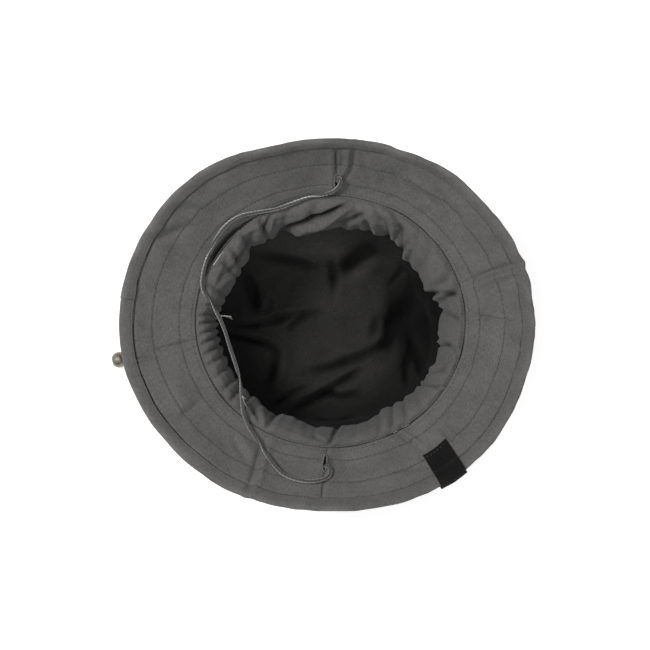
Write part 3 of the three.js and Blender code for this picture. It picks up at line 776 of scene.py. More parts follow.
LOOP_ROUTE = (  # mm: up out of the left slit, round the opening, down into the right slit
    (7.4, 100.9, 100.4), (7.2, 101.4, 104), (8.2, 102.8, 107.2), (9.8, 102.4, 108), (10.3, 99.6, 105.6),
    (8.4, 96.6, 101.6), (4.6, 94, 98.8), (0, 92.4, 97.6), (-4, 91.4, 97), (-12, 90.2, 96.4),
    (-24.5, 85.7, 96.2), (-35, 82, 96.4), (-49, 79.4, 97.2), (-60, 76.8, 99.4), (-67.5, 72.4, 100.2),
    (-75, 64.6, 99.6), (-80.5, 55.3, 98.4), (-85.2, 42.8, 97.2), (-87.6, 29.2, 96.5), (-86, 22.8, 96.1),
    (-80.4, 14, 95.2), (-73.2, 0, 93), (-68, -16, 91), (-62.8, -32, 91), (-60.4, -41, 92.6),
    (-59.6, -50, 94.9), (-58.2, -62.2, 96.6), (-53.8, -72.8, 98), (-46.7, -83.4, 101.4),
    (-39.6, -94, 107), (-30.8, -103.6, 113.3), (-21.9, -107.8, 115.2), (-11.3, -109.5, 116),
    (-3, -108.4, 114.6), (1.4, -106.4, 112.8), (3, -103.2, 110.4), (2.6, -100.6, 108.4),
    (1.2, -99.4, 106.6), (-0.4, -99.2, 104.8), (-1.1, -99.7, 103.6), (-1.1, -100.6, 102.7),
)
LEFT_ROUTE = (  # mm: from the left slit down the outside of the crown and round its back to the ball
    (7.4, 101.5, 99.5), (7.4, 103, 97.4), (7.3, 104.4, 92), (7.2, 105.4, 74), (6.6, 106, 50),
    (5.6, 106.6, 26), (3.4, 107.2, 9), (-2, 107.8, 2.4), (-10, 107.6, 1.6), (-28, 104.4, 1.6),
    (-50, 96, 1.6), (-70, 81, 1.6), (-83, 60, 1.6), (-88.5, 36, 1.6), (-89.6, 14, 1.7),
    (-91.2, 2.4, 2.4), (-93.4, -5, 4.3),
)
RIGHT_ROUTE = (  # mm: the same on the other side, from the right slit
    (-1.1, -100.8, 102.4), (-1.1, -102.6, 99.8), (-0.9, -104, 94), (0, -105.2, 72), (0, -106, 48),
    (-0.8, -106.4, 26), (-3.2, -106.6, 9), (-9, -106.4, 2.4), (-17, -105.4, 1.6), (-36, -100, 1.6),
    (-56, -89.6, 1.6), (-73, -74, 1.6), (-84.4, -56, 1.6), (-89.4, -40, 1.7), (-91, -28.4, 2.4),
    (-93.6, -19.8, 4.3),
)
BALL_CENTRE = np.array([-156.8, -22.8, 6.2]) * mm
BALL_RADIUS = 6 * mm
LEAD_OUT = np.array([-math.cos(math.radians(10)), -math.sin(math.radians(10)), 0])
LEAD_ACROSS = np.array([-LEAD_OUT[1], LEAD_OUT[0], 0])
STRAND_SIDE = 1.35 * mm
CORD_WIDTH = 2.6 * mm
CORD_THICK = 1.2 * mm
CORD_STEP = 0.42 * mm
BRAID_LAY = 2.7 * mm
YARN_HIGH = 0.13 * mm
FUZZ_HIGH = 0.035 * mm
FIRST_SIDE = (0.3, 0.5, 0.8)  # any way that no cord sets out along
CORD_SEED = 41


def on_lead(back, side):
    """A place on the two strands' straight lead, back from the ball's middle and to one side."""
    return BALL_CENTRE - LEAD_OUT * back + LEAD_ACROSS * side


def with_lead(route, side):
    """A strand's route with the straight stretch that runs through the lock into the ball."""
    lead = [on_lead(back, side) for back in (57 * mm, 40 * mm, 20 * mm, 0.8 * mm)]
    return np.concatenate([np.array(route) * mm, lead])


def braided_cord(name, route, turns, seed):
    """A flat braid: an oval section carried along the route, turned over at some shares of its
    length, its skin raised where slanting yarns cross, with painted highlights in dashes on its edges."""
    centre, length = smooth_curve(route, int(route_length(route) / CORD_STEP))
    rows, columns = len(centre), 20
    run = np.linspace(0, length, rows)
    forward = np.gradient(centre, axis=0)
    forward /= np.linalg.norm(forward, axis=1, keepdims=True)
    side = np.empty_like(centre)
    side[0] = np.cross(forward[0], FIRST_SIDE)
    level = np.cross(forward, (0, 0, 1))
    for k in range(1, rows):
        carried = side[k - 1] - forward[k] * (side[k - 1] @ forward[k])
        carried /= np.linalg.norm(carried)
        pull = level[k] if level[k] @ carried > 0 else -level[k]
        side[k] = carried + 0.05 * pull
        side[k] /= np.linalg.norm(side[k])
    up = np.cross(forward, side)
    half_turns = sum(math.pi / 2 * (1 + np.tanh((run / length - at) * length / (9 * mm))) for at in turns)
    twist = half_turns + 0.45 * noise(run, 0 * run, 22 * mm, seed)
    flat_side = side * np.cos(twist)[:, None] + up * np.sin(twist)[:, None]
    flat_up = up * np.cos(twist)[:, None] - side * np.sin(twist)[:, None]
    ring = np.arange(columns) / columns * TURN
    lay = run[:, None] / BRAID_LAY * TURN
    yarn = np.sin(lay + 3 * ring) * np.sin(lay - 3 * ring)
    swell = 1 + 0.06 * noise(run, 0 * run, 3 * mm, seed + 1)[:, None]
    fuzz = FUZZ_HIGH * np.random.default_rng(seed).normal(0, 1, (rows, columns))
    wide = CORD_WIDTH / 2 * swell + YARN_HIGH * yarn + fuzz
    high = CORD_THICK / 2 * swell + YARN_HIGH * yarn + fuzz
    rings = swept(centre, flat_side, flat_up, wide, high, ring)
    uv = np.stack(np.broadcast_arrays(run[:, None], np.linspace(0, 6.5 * mm, columns + 1)), -1)
    # Painted highlights: dashes along the flat edges, stronger along some stretches of the cord.
    dash = 0.5 + 0.5 * np.sin(lay + 3 * ring)
    share = run / length
    painted_highlight = 0.3 + 0.6 * bell(share - 0.2, 0.17) + 0.35 * bell(share - 0.93, 0.08)
    wear_and_painted_light = np.clip((np.abs(np.cos(ring)) ** 5 * (0.25 + dash) * 1.5) * painted_highlight[:, None], 0, 1)
    piece = tube(name, rings[:, ::-1], uv, wear_and_painted_light)
    return piece, np.concatenate([centre[:-1:3], centre[-1:]]), length


def route_length(route):
    """The length of a smooth curve through a route."""
    return smooth_curve(route, 400)[1]


CORDS = (  # piece, route, shares of its length at which it turns over, far end, CAD node
    ("cord_loop_braid", np.array(LOOP_ROUTE) * mm, (0.1, 0.36, 0.47, 0.63, 0.78), "object", "cord_loop"),
    ("cord_strand_left_braid", with_lead(LEFT_ROUTE, -STRAND_SIDE), (0.2, 0.55), "knot", "cord_strand_left"),
    ("cord_strand_right_braid", with_lead(RIGHT_ROUTE, STRAND_SIDE), (0.3,), "knot", "cord_strand_right"),
)
for index, (name, route, turns, far_end, node) in enumerate(CORDS):
    piece, path, length = braided_cord(name, route, turns, CORD_SEED + 7 * index)
    settle(piece, CORD_BRAID, node, slot="cord")


def loose_thread(name, route, thick, slot):
    """A stray end of thread: a round tube that thins out along a short smooth route in mm."""
    centre, length = smooth_curve(np.array(route) * mm, 30)
    forward = np.gradient(centre, axis=0)
    forward /= np.linalg.norm(forward, axis=1, keepdims=True)
    side = np.cross(forward, (0, 0, 1))
    side /= np.linalg.norm(side, axis=1, keepdims=True)
    up = np.cross(side, forward)
    ring = np.arange(6) / 6 * TURN
    thin = thick * (1 - 0.6 * np.linspace(0, 1, 30) ** 3)[:, None]
    rings = swept(centre, side, up, thin, thin, ring)
    uv = np.stack(np.broadcast_arrays(np.linspace(0, length, 30)[:, None], np.linspace(0, 1, 7) * mm), -1)
    settle(tube(name, rings, uv), LOOSE_THREAD, slot=slot)


LOOSE_THREADS = (  # name, route in mm, radius, slot
    ("lens_thread", [(-79.5, 42, 97), (-77, 45.4, 98), (-74.6, 49, 98.4), (-72, 51.6, 97)],
     0.4 * mm, "cloth"),
    ("cord_fray_long", [(-60.4, -48, 94), (-58.6, -52, 95.6), (-57.4, -55.6, 95), (-55.6, -58.6, 94)],
     0.4 * mm, "cord"),
    ("cord_fray_short", [(-60.2, -49, 94), (-58, -51.4, 96), (-56.4, -52.6, 95.4)], 0.3 * mm, "cord"),
)
for stray in LOOSE_THREADS:
    loose_thread(*stray)


# ---------------------------------------------------------------- stitches

def stitch_run(name, path, up, material, length=2.3 * mm, gap=0.8 * mm, thick=0.19 * mm, closed=False,
               body="hat", slot="cloth"):
    """A row of lockstitches: each thread is a short bent capsule that rises out of the cloth and
    sinks back into it, repeated along the path at an even step."""
    steps = np.linalg.norm(np.diff(path, axis=0), axis=1)
    run = np.concatenate([[0], np.cumsum(steps)])
    count = max(1, int(run[-1] / (length + gap)))
    start = np.arange(count) * (run[-1] / count)
    t = np.array([0.0, 0.2, 0.5, 0.8, 1.0])
    where = (start[:, None] + t * length).ravel()
    centre = np.stack([np.interp(where, run, path[:, k]) for k in range(3)], 1).reshape(count, 5, 3)
    lift = np.stack([np.interp(where, run, up[:, k]) for k in range(3)], 1).reshape(count, 5, 3)
    lift /= np.linalg.norm(lift, axis=-1, keepdims=True)
    forward = centre[:, -1:] - centre[:, :1]
    forward /= np.maximum(np.linalg.norm(forward, axis=-1, keepdims=True), 1e-12)
    side = np.cross(forward, lift)
    rise = thick * np.array([-1.4, 0.1, 0.55, 0.1, -1.4])
    radius = thick * np.array([0.55, 0.95, 1.0, 0.95, 0.55])
    ring = np.arange(6) / 6 * TURN
    spokes = side[:, :, None] * np.cos(ring)[:, None] + lift[:, :, None] * np.sin(ring)[:, None]
    points = (centre + lift * rise[None, :, None])[:, :, None] + radius[None, :, None, None] * spokes
    i, j = quads(5, 6, False, True)
    one = np.concatenate([i * 6 + j % 6, [[0, 1, 2, 3], [0, 3, 4, 5]], [[27, 26, 25, 24], [29, 28, 27, 24]]])
    faces = (np.arange(count)[:, None, None] * 30 + one).reshape(-1, 4)
    uv_one = np.concatenate([
        np.stack([i / 4 * length, j / 6 * 6 * thick], -1), np.zeros((4, 4, 2))])
    uv = np.broadcast_to(uv_one, (count,) + uv_one.shape).reshape(-1, 4, 2)
    return settle(new_object(name, points.reshape(-1, 3), faces, uv), material, body=body, slot=slot)


# ---------------------------------------------------------------- brim

PANELS = {"front": ("right", "left", 0.0), "back": ("left", "right", TURN)}


def slit_half(share):
    """Half the width of the slit left open in a side seam: an oval about its middle."""
    along = (share - SLIT_AT) * BRIM_WIDTH / (SLIT_LENGTH / 2)
    return SLIT_OPEN * np.sqrt(np.clip(1 - along ** 2, 0, 1))


def panel_angles(panel, shares, columns):
    """Angles of a brim panel: from one side seam to the other, drawn back at the slits."""
    first, last, turn = PANELS[panel]
    open_angle = (slit_half(shares) + 0.06 * mm) / brim_radius(shares)
    start = SIDE_SEAMS[first] + open_angle
    end = SIDE_SEAMS[last] + turn - open_angle
    t = np.linspace(0, 1, columns)[:, None]
    return start + (end - start) * t


def flat_pattern(angles, shares):
    """Places on the cloth before it was sewn: the brim unrolled flat, so that its grain stays straight."""
    return polar(angles) * (96 * mm + shares * BRIM_WIDTH)[..., None]


def near_slit(angles, shares, half_wide, half_long):
    """1 at the middle of either cord slit, fading to 0 past the given half-sizes."""
    across = sum(bell(wrapped(angles - seam) * SLIT_RADIUS, half_wide) for seam in SIDE_SEAMS.values())
    return np.clip(across * bell((shares - SLIT_AT) * BRIM_WIDTH, half_long), 0, 1)


def brim_painted_shade(angles, shares, side):
    """Painted shade: along the binding's and the crown seam's lines, the stitch rows and the side seams,
    beside the slits, and on the upper panels in the gap behind the sweatband."""
    ditch = (shares - 1) * BRIM_WIDTH + binding_width(angles) + 0.5 * mm
    painted_shade = bell(ditch, 0.72 * mm) * (1.1 - 0.1 * bell(turned(angles, 180), 1.1))
    painted_shade = painted_shade + 0.3 * sum(bell((shares - row) * BRIM_WIDTH, 0.5 * mm) for row in ROWS)
    painted_shade = painted_shade + 0.9 * bell(shares * BRIM_WIDTH - 0.6 * mm, 0.6 * mm)
    for label, strength in (("left", 0.9), ("right", 0.45)):
        away = wrapped(angles - SIDE_SEAMS[label]) * (95 + 40 * shares) * mm
        painted_shade = painted_shade + strength * bell(away, 0.8 * mm) * (0.5 + 0.5 * np.clip((shares - 0.35) * 4, 0, 1))
    beside = bell((shares - SLIT_AT) * BRIM_WIDTH, 6 * mm)
    for seam in SIDE_SEAMS.values():
        away = wrapped(angles - seam) * SLIT_RADIUS
        painted_shade = painted_shade + 0.55 * bell(away + 3.2 * mm * np.sign(np.sin(seam)), 2.2 * mm) * beside
    if side < 0:
        painted_shade = painted_shade + lens(angles) * np.clip(1.4 - shares * 14, 0, 1)
    return np.clip(painted_shade, 0, 1)


def brim_panel(panel, side):
    """One brim panel: a cloth sheet over (angle, share), lying on one side of the brim's middle.

    side is 1 for the under panels, which face the wearer, and -1 for the upper ones."""
    rows, columns = (560, 84) if side > 0 else (300, 50)
    across = np.linspace(0, 1, columns)
    angles = panel_angles(panel, 0.002 + 0.993 * across, rows)
    start = (0.002 + 0.07 * lens(angles)) if side > 0 else -0.002 - 0.04 * lens(angles)
    shares = start + (0.995 - start) * across
    pucker = brim_pucker(angles, shares, 61 if side > 0 else 71)
    rim = np.clip((shares - 0.96) / 0.035, 0, 1)
    seen = LAYER_HIGH + pucker - 0.3 * mm * rim - 0.5 * mm * bell(across * 54, 1.1)
    hidden = LAYER_HIGH - CLOTH + np.minimum(pucker, 0) * 0.5
    outer, inner = on_brim(angles, shares, side * seen), on_brim(angles, shares, side * hidden)
    face, back = (inner, outer) if side > 0 else (outer, inner)
    uv = flat_pattern(angles, shares)
    # A painted highlight beside the cord slits, and painted shade along the lines and gaps.
    wear_and_painted_light = 0.25 * near_slit(angles, shares, 3.5 * mm, 9 * mm) - brim_painted_shade(angles, shares, side)
    name = ("brim_under_" if side > 0 else "brim_upper_") + panel
    return settle(shell(name + "_cloth", face, back, uv, wear_and_painted_light=wear_and_painted_light), CLOTH_GREY, name)


def brim_stiffener():
    """The interlining: a plain stiff sheet in the brim's middle, with painted shade where the slits show it.
    """
    angles = np.linspace(0, TURN, 241)[:, None] * np.ones(20)
    start = 0.012 + 0.08 * lens(angles)
    shares = start + (0.985 - start) * np.linspace(0, 1, 20)
    low = on_brim(angles, shares, -0.25 * mm)[:-1]
    high = on_brim(angles, shares, 0.25 * mm)[:-1]
    uv = np.stack([angles * 112 * mm, shares * BRIM_WIDTH], -1)
    # Painted shade where the sheet shows through the slits.
    dark = -np.clip(2 * near_slit(angles, shares, 3 * mm, 10 * mm), 0, 1)[:-1]
    piece = shell("brim_stiffener_sheet", low, high, uv, wrap=True, wear_and_painted_light=dark)
    settle(piece, STIFFENER, "brim_interlining", slot="stiffener")


BINDING_START = math.radians(168)
BINDING_END = math.radians(172) + TURN
FOLD_SHARE = 0.36  # share of the tape's half-width that goes round the fold
FOLD_BACK = 1.8 * mm  # how far the fold starts inside the brim's edge


def edge_binding():
    """Bias tape folded round the brim's edge: a soft U section carried round the outline; its last
    stretch climbs over its first, and both long edges wander a little."""
    rows = 1000
    angle = np.linspace(BINDING_START, BINDING_END, rows)[:, None]
    t = np.linspace(-1, 1, 41)[None, :]
    over = np.clip((angle - BINDING_END + math.radians(7)) / math.radians(5), 0, 1)
    over = 0.7 * mm * over * over * (3 - 2 * over)
    width = binding_width(angle) + 0.35 * mm * noise(angle * EDGE_RADIUS, 0 * angle, 14 * mm, 81) + 0.6 * over
    high = 2.35 * mm + over + 0.12 * mm * noise(angle * EDGE_RADIUS, t * 9 * mm, 4 * mm, 82)
    high = high + 0.16 * mm * noise(angle * EDGE_RADIUS + t * 5 * mm, t * 9 * mm, 2.2 * mm, 83) * (1 - t ** 2)

    def section(high, past):
        """Distance past the edge and height, from the upper leg's end, round the fold, to the lower's."""
        bend = np.clip((np.abs(t) - FOLD_SHARE) / (1 - FOLD_SHARE), 0, 1)
        turn = np.clip(t / FOLD_SHARE, -1, 1) * math.pi / 2
        fold = np.abs(t) < FOLD_SHARE
        leg = -FOLD_BACK - bend * (width - FOLD_BACK)
        distance = np.where(fold, (past + FOLD_BACK) * np.cos(turn) - FOLD_BACK, leg)
        height = np.where(fold, high * np.sin(turn), high * np.sign(t))
        tuck = 0.25 * mm * np.clip((bend - 0.93) / 0.07, 0, 1)
        tuck = tuck + 0.3 * mm * bell((bend - 0.8) * 7.2 * mm, 0.7 * mm)
        return distance, height - tuck * np.sign(t)

    def place(thickness):
        """The tape's face, or its back at the cloth's thickness."""
        distance, height = section(high - thickness, 1.6 * mm + 0.6 * over - thickness)
        share = 1 + distance / BRIM_WIDTH
        return on_brim(angle + 0 * t, share, height)

    uv = np.stack(np.broadcast_arrays(angle * 135 * mm, t * 12 * mm), -1)
    rim = bell(t, 0.3) * (0.35 + 0.35 * noise(angle * EDGE_RADIUS, 0 * angle, 9 * mm, 84))
    piece = shell("edge_binding_tape", place(0 * mm), place(CLOTH), uv, wear_and_painted_light=np.clip(rim, 0, 1))
    settle(piece, BINDING_GREY, "edge_binding")


def stitched_circle(name, share, height, side, start=0.0, end=TURN, **look):
    """A stitch row that keeps one distance from the brim's seam."""
    angle = np.linspace(start, end, 1400)
    share = share + 0.004 * noise(angle * SEAM_RADIUS, 0 * angle, 22 * mm, 91)
    path = on_brim(angle, share, side * height)
    up = brim_frame(angle, share)[2] * side
    return stitch_run(name, path, up, SEWING_THREAD, **look)


def brim_stitching():
    """Rows round the brim on both faces, along the binding, beside the crown seam and the side seams."""
    for side, face in ((1, "under"), (-1, "upper")):
        for number, row in enumerate(ROWS):
            stitched_circle(f"brim_{face}_row_{number + 1}", row, LAYER_HIGH - 0.12 * mm, side)
        inside = 1 - (binding_width(np.linspace(0, TURN, 1400)) - 1.4 * mm) / BRIM_WIDTH
        stitched_circle(f"binding_{face}_row", inside, 1.95 * mm, side, length=2.0 * mm)
        stitched_circle(f"seam_{face}_row", 3.9 * mm / BRIM_WIDTH, LAYER_HIGH, side, length=2.0 * mm)
        for label, seam in SIDE_SEAMS.items():
            for offset in (-2.6 * mm, 2.6 * mm):
                for part, (low, high) in enumerate(((0.05, 0.12), (0.47, 0.82))):
                    share = np.linspace(low, high, 80)
                    angle = seam + offset / brim_radius(share)
                    path = on_brim(angle, share, side * (LAYER_HIGH + 0.1 * mm))
                    up = brim_frame(angle, share)[2] * side
                    mark = "a" if offset < 0 else "b"
                    name = f"side_seam_{face}_{label}_{mark}{part}"
                    stitch_run(name, path, up, SEWING_THREAD, length=2.0 * mm)


def slit_welt(label):
    """The buttonholed rim of a cord slit: a rounded oval ring, ribbed by its packed satin stitches."""
    seam = SIDE_SEAMS[label]
    turn = np.linspace(0, TURN, 241)[:-1]
    ring = np.linspace(0, TURN, 13)[:-1]
    rib = 1 + 0.16 * np.sin(turn * 60)
    half_long = SLIT_LENGTH / 2 + 0.5 * mm
    half_wide = SLIT_OPEN + 0.25 * mm
    share = SLIT_AT + half_long * np.cos(turn) / BRIM_WIDTH
    angle = seam + half_wide * np.sin(turn) / brim_radius(share)
    at, out, up = brim_frame(angle, share)
    around = np.cross(up, out)
    outward = out * np.cos(turn)[:, None] + around * np.sin(turn)[:, None]
    outward /= np.linalg.norm(outward, axis=1, keepdims=True)
    centre = on_brim(angle, share, 1.85 * mm)
    rings = swept(centre, outward, up, 0.5 * mm * rib[:, None], 0.38 * mm * rib[:, None], ring)
    piece = closed_ring(f"slit_welt_{label}_stitching", rings)
    settle(piece, WELT_THREAD, f"slit_welt_{label}")


def edge_tab():
    """A strap of webbing folded over the brim's edge: a long U section with its ribs across it, sewn
    down near both ends."""
    lateral = np.linspace(-1, 1, 40)[None, :]
    t = np.linspace(-1, 1, 220)[:, None]
    fold = 0.09
    bend = np.clip((np.abs(t) - fold) / (1 - fold), 0, 1)
    turn = np.clip(t / fold, -1, 1) * math.pi / 2
    over_binding = 1 - np.clip((bend * (TAB_LENGTH + 2 * mm) - BINDING_WIDTH) / (3 * mm), 0, 1)
    leg = 1.95 * mm + 1.35 * mm * over_binding
    leg = leg + 0.25 * mm * noise(lateral * 9 * mm, t * 30 * mm, 7 * mm, 95)
    rib = 0.07 * mm * np.sin(t * (TAB_LENGTH / (1.5 * mm)) * TURN / 2) * (1 - np.abs(lateral) ** 12)
    border = 0.12 * mm * bell(np.abs(lateral) - 0.93, 0.06)

    def place(thickness):
        """The webbing's ribbed face, or its plain back at its own thickness."""
        high = leg + TAB_THICK - thickness + (rib + border if thickness == 0 else 0)
        distance = np.where(np.abs(t) < fold, 3.4 * mm * np.cos(turn) - thickness, -bend * TAB_LENGTH)
        height = np.where(np.abs(t) < fold, high * np.sin(turn), high * np.sign(t))
        share = 1 + distance / BRIM_WIDTH + 0 * lateral
        sideways = lateral * TAB_WIDTH / 2 - distance * TAB_SKEW
        return on_brim(TAB_ANGLE + sideways / brim_radius(share), share, height + 0 * lateral)

    uv = np.stack(np.broadcast_arrays(t * TAB_LENGTH, lateral * TAB_WIDTH / 2), -1)
    wear_and_painted_light = np.clip(0.5 * bell(np.abs(lateral) - 1, 0.04) + 0.4 * bell(t, 0.1), 0, 1)
    piece = shell("edge_tab_webbing", place(0.0), place(TAB_THICK), uv, wear_and_painted_light=wear_and_painted_light)
    settle(piece, TAB_BLACK, "edge_tab", slot="tab_tape")
    for side, face in ((1, "under"), (-1, "upper")):
        for row in (4 * mm, 5.6 * mm):
            lateral_run = np.linspace(-0.86, 0.86, 60)
            share = np.full(60, 1 - (TAB_LENGTH - row * 0.6) / BRIM_WIDTH)
            sideways = lateral_run * TAB_WIDTH / 2 + (1 - share) * BRIM_WIDTH * TAB_SKEW
            angle = TAB_ANGLE + sideways / brim_radius(share)
            path = on_brim(angle, share, side * 2.85 * mm)
            up = brim_frame(angle, share)[2] * side
            name = f"tab_{face}_row_{round(row / mm)}"
            stitch_run(name, path, up, BLACK_THREAD, length=1.8 * mm, slot="tab_tape")


for panel in PANELS:
    brim_panel(panel, 1)
    brim_panel(panel, -1)
brim_stiffener()
edge_binding()
brim_stitching()
slit_welt("left")
slit_welt("right")
edge_tab()


# ---------------------------------------------------------------- sweatband

BAND_EDGE = (  # angle in degrees, mm that the band's free edge stands in from the crown's wall
    (7, 11.6), (20, 19), (30, 19.5), (47, 17.5), (54, 11.5), (64, 14.5), (73, 16.5), (84, 15.5),
    (92, 18.5), (101, 19.5), (110, 17), (117, 14), (126, 13), (134, 10), (141, 14.5), (161, 15.5),
    (177, 11), (200, 11.8), (225, 11), (236, 10.4), (250, 13), (263, 10.5), (276, 10.5), (289, 10.5),
    (298, 14.5), (309, 12), (327, 11.5), (342, 11.3), (354, 14.2),
)
BAND_PLEATS = (  # angle in degrees, half-width in degrees, mm deep, lean in degrees across the band
    (14.5, 1.6, 3.4, 4), (20.5, 2.2, 2.2, -6), (2.5, 1.5, 2.0, 7), (-13, 1.4, 1.6, 6),
    (36, 2.5, 1.3, -8), (44, 1.6, 1.2, -8), (56, 2.4, 2.6, -14), (66, 1.5, 1.2, -12),
    (78, 2.2, 1.2, -5), (99, 2.4, 1.6, 12), (112, 1.8, 1.4, 9), (123.5, 1.5, 2.4, 3),
    (134, 1.5, 1.2, 3), (143, 1.6, 2.0, 6), (150, 1.3, 1.3, 5), (163, 1.6, 1.8, 4), (172, 1.1, 1.6, -2),
    (177, 0.9, 1.8, -2), (181, 1.0, 2.4, -3), (185.5, 1.0, 2.2, -4), (190, 1.1, 2.4, -5),
    (195, 1.2, 2.2, -5), (200.5, 1.2, 1.8, -4), (207, 1.4, 1.5, -4), (214, 1.3, 1.8, -3),
    (220, 1.2, 2.0, -3), (226, 1.2, 1.6, -2), (232, 1.6, 1.0, 0), (241, 1.5, 2.4, 1),
    (252, 2.0, 1.0, 2), (262, 1.6, 0.9, 2), (270.5, 1.3, 3.0, 5), (281, 1.8, 0.9, 4),
    (293, 1.6, 1.5, 5), (300, 1.5, 2.0, 7), (307, 1.4, 1.6, 6), (316, 1.8, 0.9, 3), (326, 0.9, 2.2, -5),
    (336, 1.8, 0.9, 3),
)
BAND_FOLDS = (  # chain of points in mm across the band, width, depth, lip
    ([(16, 86), (9.3, 83), (2.9, 79.6), (-2.9, 76.6), (-11.3, 74), (-20.2, 71), (-34, 66)], 1.7, 9, 0.7),
    ([(30, 80), (22, 76), (13, 74.5), (2, 72.5)], 1.6, 3.0, 0.8),
    ([(-38, 79), (-41, 74.4), (-43.6, 64)], 1.4, 3.2, 0.8),
    ([(-50, 66), (-56.7, 56.6), (-60.9, 48.1), (-66.6, 40.3), (-76, 29)], 1.5, 3.2, 0.8),
    ([(24, 78), (30, 71), (35, 62)], 2.0, 3.2, 0.8),
    ([(42, 74), (45, 66), (44, 56)], 2.0, 2.6, 0.8),
    ([(60, 60), (54, 54), (51, 46)], 2.2, 3.2, 0.8),
    ([(34, 79), (44, 73), (56, 66)], 2.4, 1.8, 0.7),
    ([(-70, 48), (-72, 38), (-77, 30)], 2.2, 1.6, 0.7),
    ([(79, 14), (84, 20), (92, 22)], 1.8, 3.4, 0.8),
    ([(76, -12), (82, -14), (90, -12)], 1.5, 3.0, 0.8),
    ([(72, -34), (78, -33), (84, -30)], 1.4, 2.2, 0.8),
    ([(-9, -77), (-6, -80), (0, -83)], 1.3, 2.6, 0.4),
    ([(-56, -52), (-50, -60), (-46, -72)], 1.6, 2.6, 0.8),
)
BAND_SHARES = (0, 0.16, 0.34, 0.55, 0.75, 0.9, 1)  # shares of the band's width, from its seam
BAND_INWARD = (0.02, 0.26, 0.57, 0.83, 0.97, 1.0, 0.97)  # share of its reach there
BAND_RISE = (0.75, 1.9, 1.4, -3.0, -10.5, -17, -21.5)  # mm over the seam there


def band_surface(angle, across, lift=0.0):
    """The sweatband: it leaves the seam, puffs up, then turns down to a free edge whose distance
    from the wall wanders; pleats are valleys that lean across it, shallower at the free edge.
    Gives the places and, in mm, how far the pleats and folds push them."""
    degrees = np.degrees(angle) % 360
    table = np.array(BAND_EDGE)
    known = np.concatenate([table[-1:, 0] - 360, table[:, 0], table[:1, 0] + 360])
    reach = np.interp(degrees, known, np.concatenate([table[-1:, 1], table[:, 1], table[:1, 1]])) * mm
    reach = reach + 0.9 * mm * noise(angle * OPENING_RADIUS, 0 * angle, 11 * mm, 101)
    inward = np.interp(across, BAND_SHARES, BAND_INWARD) * reach
    z = np.interp(across, BAND_SHARES, BAND_RISE) * mm
    inward = inward + (1.6 * mm * lens(angle) - 0.25 * mm) * (1 - across)
    puff = 1.3 * mm * noise(angle * OPENING_RADIUS, across * 26 * mm, 12 * mm, 102) * np.sin(np.pi * across)
    fine = 0.18 * mm * noise(angle * OPENING_RADIUS, across * 20 * mm, 4 * mm, 103)
    puff = puff + fine * np.clip(across * 4, 0, 1)
    fold = np.zeros(np.shape(puff))
    for centre, half, deep, lean in BAND_PLEATS:
        away = turned(angle - math.radians(lean) * (across - 0.4), centre) / math.radians(half)
        fold = fold - 1.15 * deep * mm * (bell(away, 1) - 0.4 * bell(away - 1.9, 1.4))
    plain = wall(angle, inward, SEAM_Z + z)
    for points, width, deep, lip in BAND_FOLDS:
        fold = fold + crease(plain[..., 0], plain[..., 1], points, width, deep, lip)
    fold = fold * np.clip(across * 5 - 0.15, 0, 1) * (1 - 0.25 * across)
    push = lift + puff + fold
    tilt = np.clip(across * 1.5, 0, 1) * math.radians(68)
    at = wall(angle, inward + push * np.sin(tilt), SEAM_Z + z + push * np.cos(tilt))
    return at, fold / mm


def sweatband():
    """The gathered sweatband: one sheet round the opening whose end laps over its start at one side."""
    rows = 1100
    start = math.radians(-34.5)
    t = np.linspace(0, 1, rows)[:, None]
    across = np.linspace(0, 1, 40)[None, :]
    angle = start - math.radians(5) + (TURN + math.radians(5)) * t
    under = 1 - np.clip(t * 40, 0, 1)
    lap = -1.3 * mm * under * np.ones_like(across)
    hem = 0.35 * mm * np.clip((across - 0.9) / 0.05, 0, 1)
    face, fold = band_surface(angle + 0 * across, across + 0 * angle, lap + hem)
    back = band_surface(angle + 0 * across, across + 0 * angle, lap - 0.8 * mm)[0]
    uv = np.stack(np.broadcast_arrays(angle * OPENING_RADIUS, across * 32 * mm), -1)
    # Painted light and shade: a highlight along the ridge near the seam, shade in the seam and in the pleats,
    # and shade on the band's free half towards the -Y side.
    wear_and_painted_light = 0.2 * bell(across - 0.2, 0.1) - 0.5 * bell(across, 0.03)
    painted_low_side_shade = bell(turned(angle, 262), 0.9) * np.clip((across - 0.45) / 0.5, 0, 1)
    wear_and_painted_light = wear_and_painted_light - np.clip(-fold / 4 - 0.15, 0, 0.9) - 0.3 * painted_low_side_shade
    piece = shell("sweatband_cloth", face, back, uv, wear_and_painted_light=wear_and_painted_light)
    settle(piece, BAND_GREY, "sweatband", slot="sweatband_cloth")
    angle = np.linspace(start + 0.03, start + TURN - 0.03, 1500)
    path = band_surface(angle, np.full(1500, 0.035), 0.15 * mm)[0]
    stitch_run("sweatband_stitch_row", path, upwards(1500), SEAM_THREAD, length=1.9 * mm,
               slot="sweatband_cloth")


def sweatband_elastic():
    """Ribbed elastic behind the gathers: a band of the wall's own shape with close upright ribs."""
    low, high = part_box("sweatband_elastic")
    angle = np.linspace(math.radians(120), math.radians(240), 480)[:, None]
    z = np.linspace(low[2], high[2], 16)[None, :]
    rib = 0.16 * mm * np.sin(angle * 85 / 1.1 * TURN / 2)
    inward = 3.2 * mm + (SEAM_Z - z) * 0.16 + rib
    face = wall(angle + 0 * z, inward, z + 0 * angle)
    back = wall(angle + 0 * z, inward + 0.8 * mm, z + 0 * angle)
    uv = np.stack(np.broadcast_arrays(angle * OPENING_RADIUS, z), -1)
    settle(shell("sweatband_elastic_rib", face, back, uv), ELASTIC_RIB, "sweatband_elastic", slot="elastic")


sweatband()
sweatband_elastic()


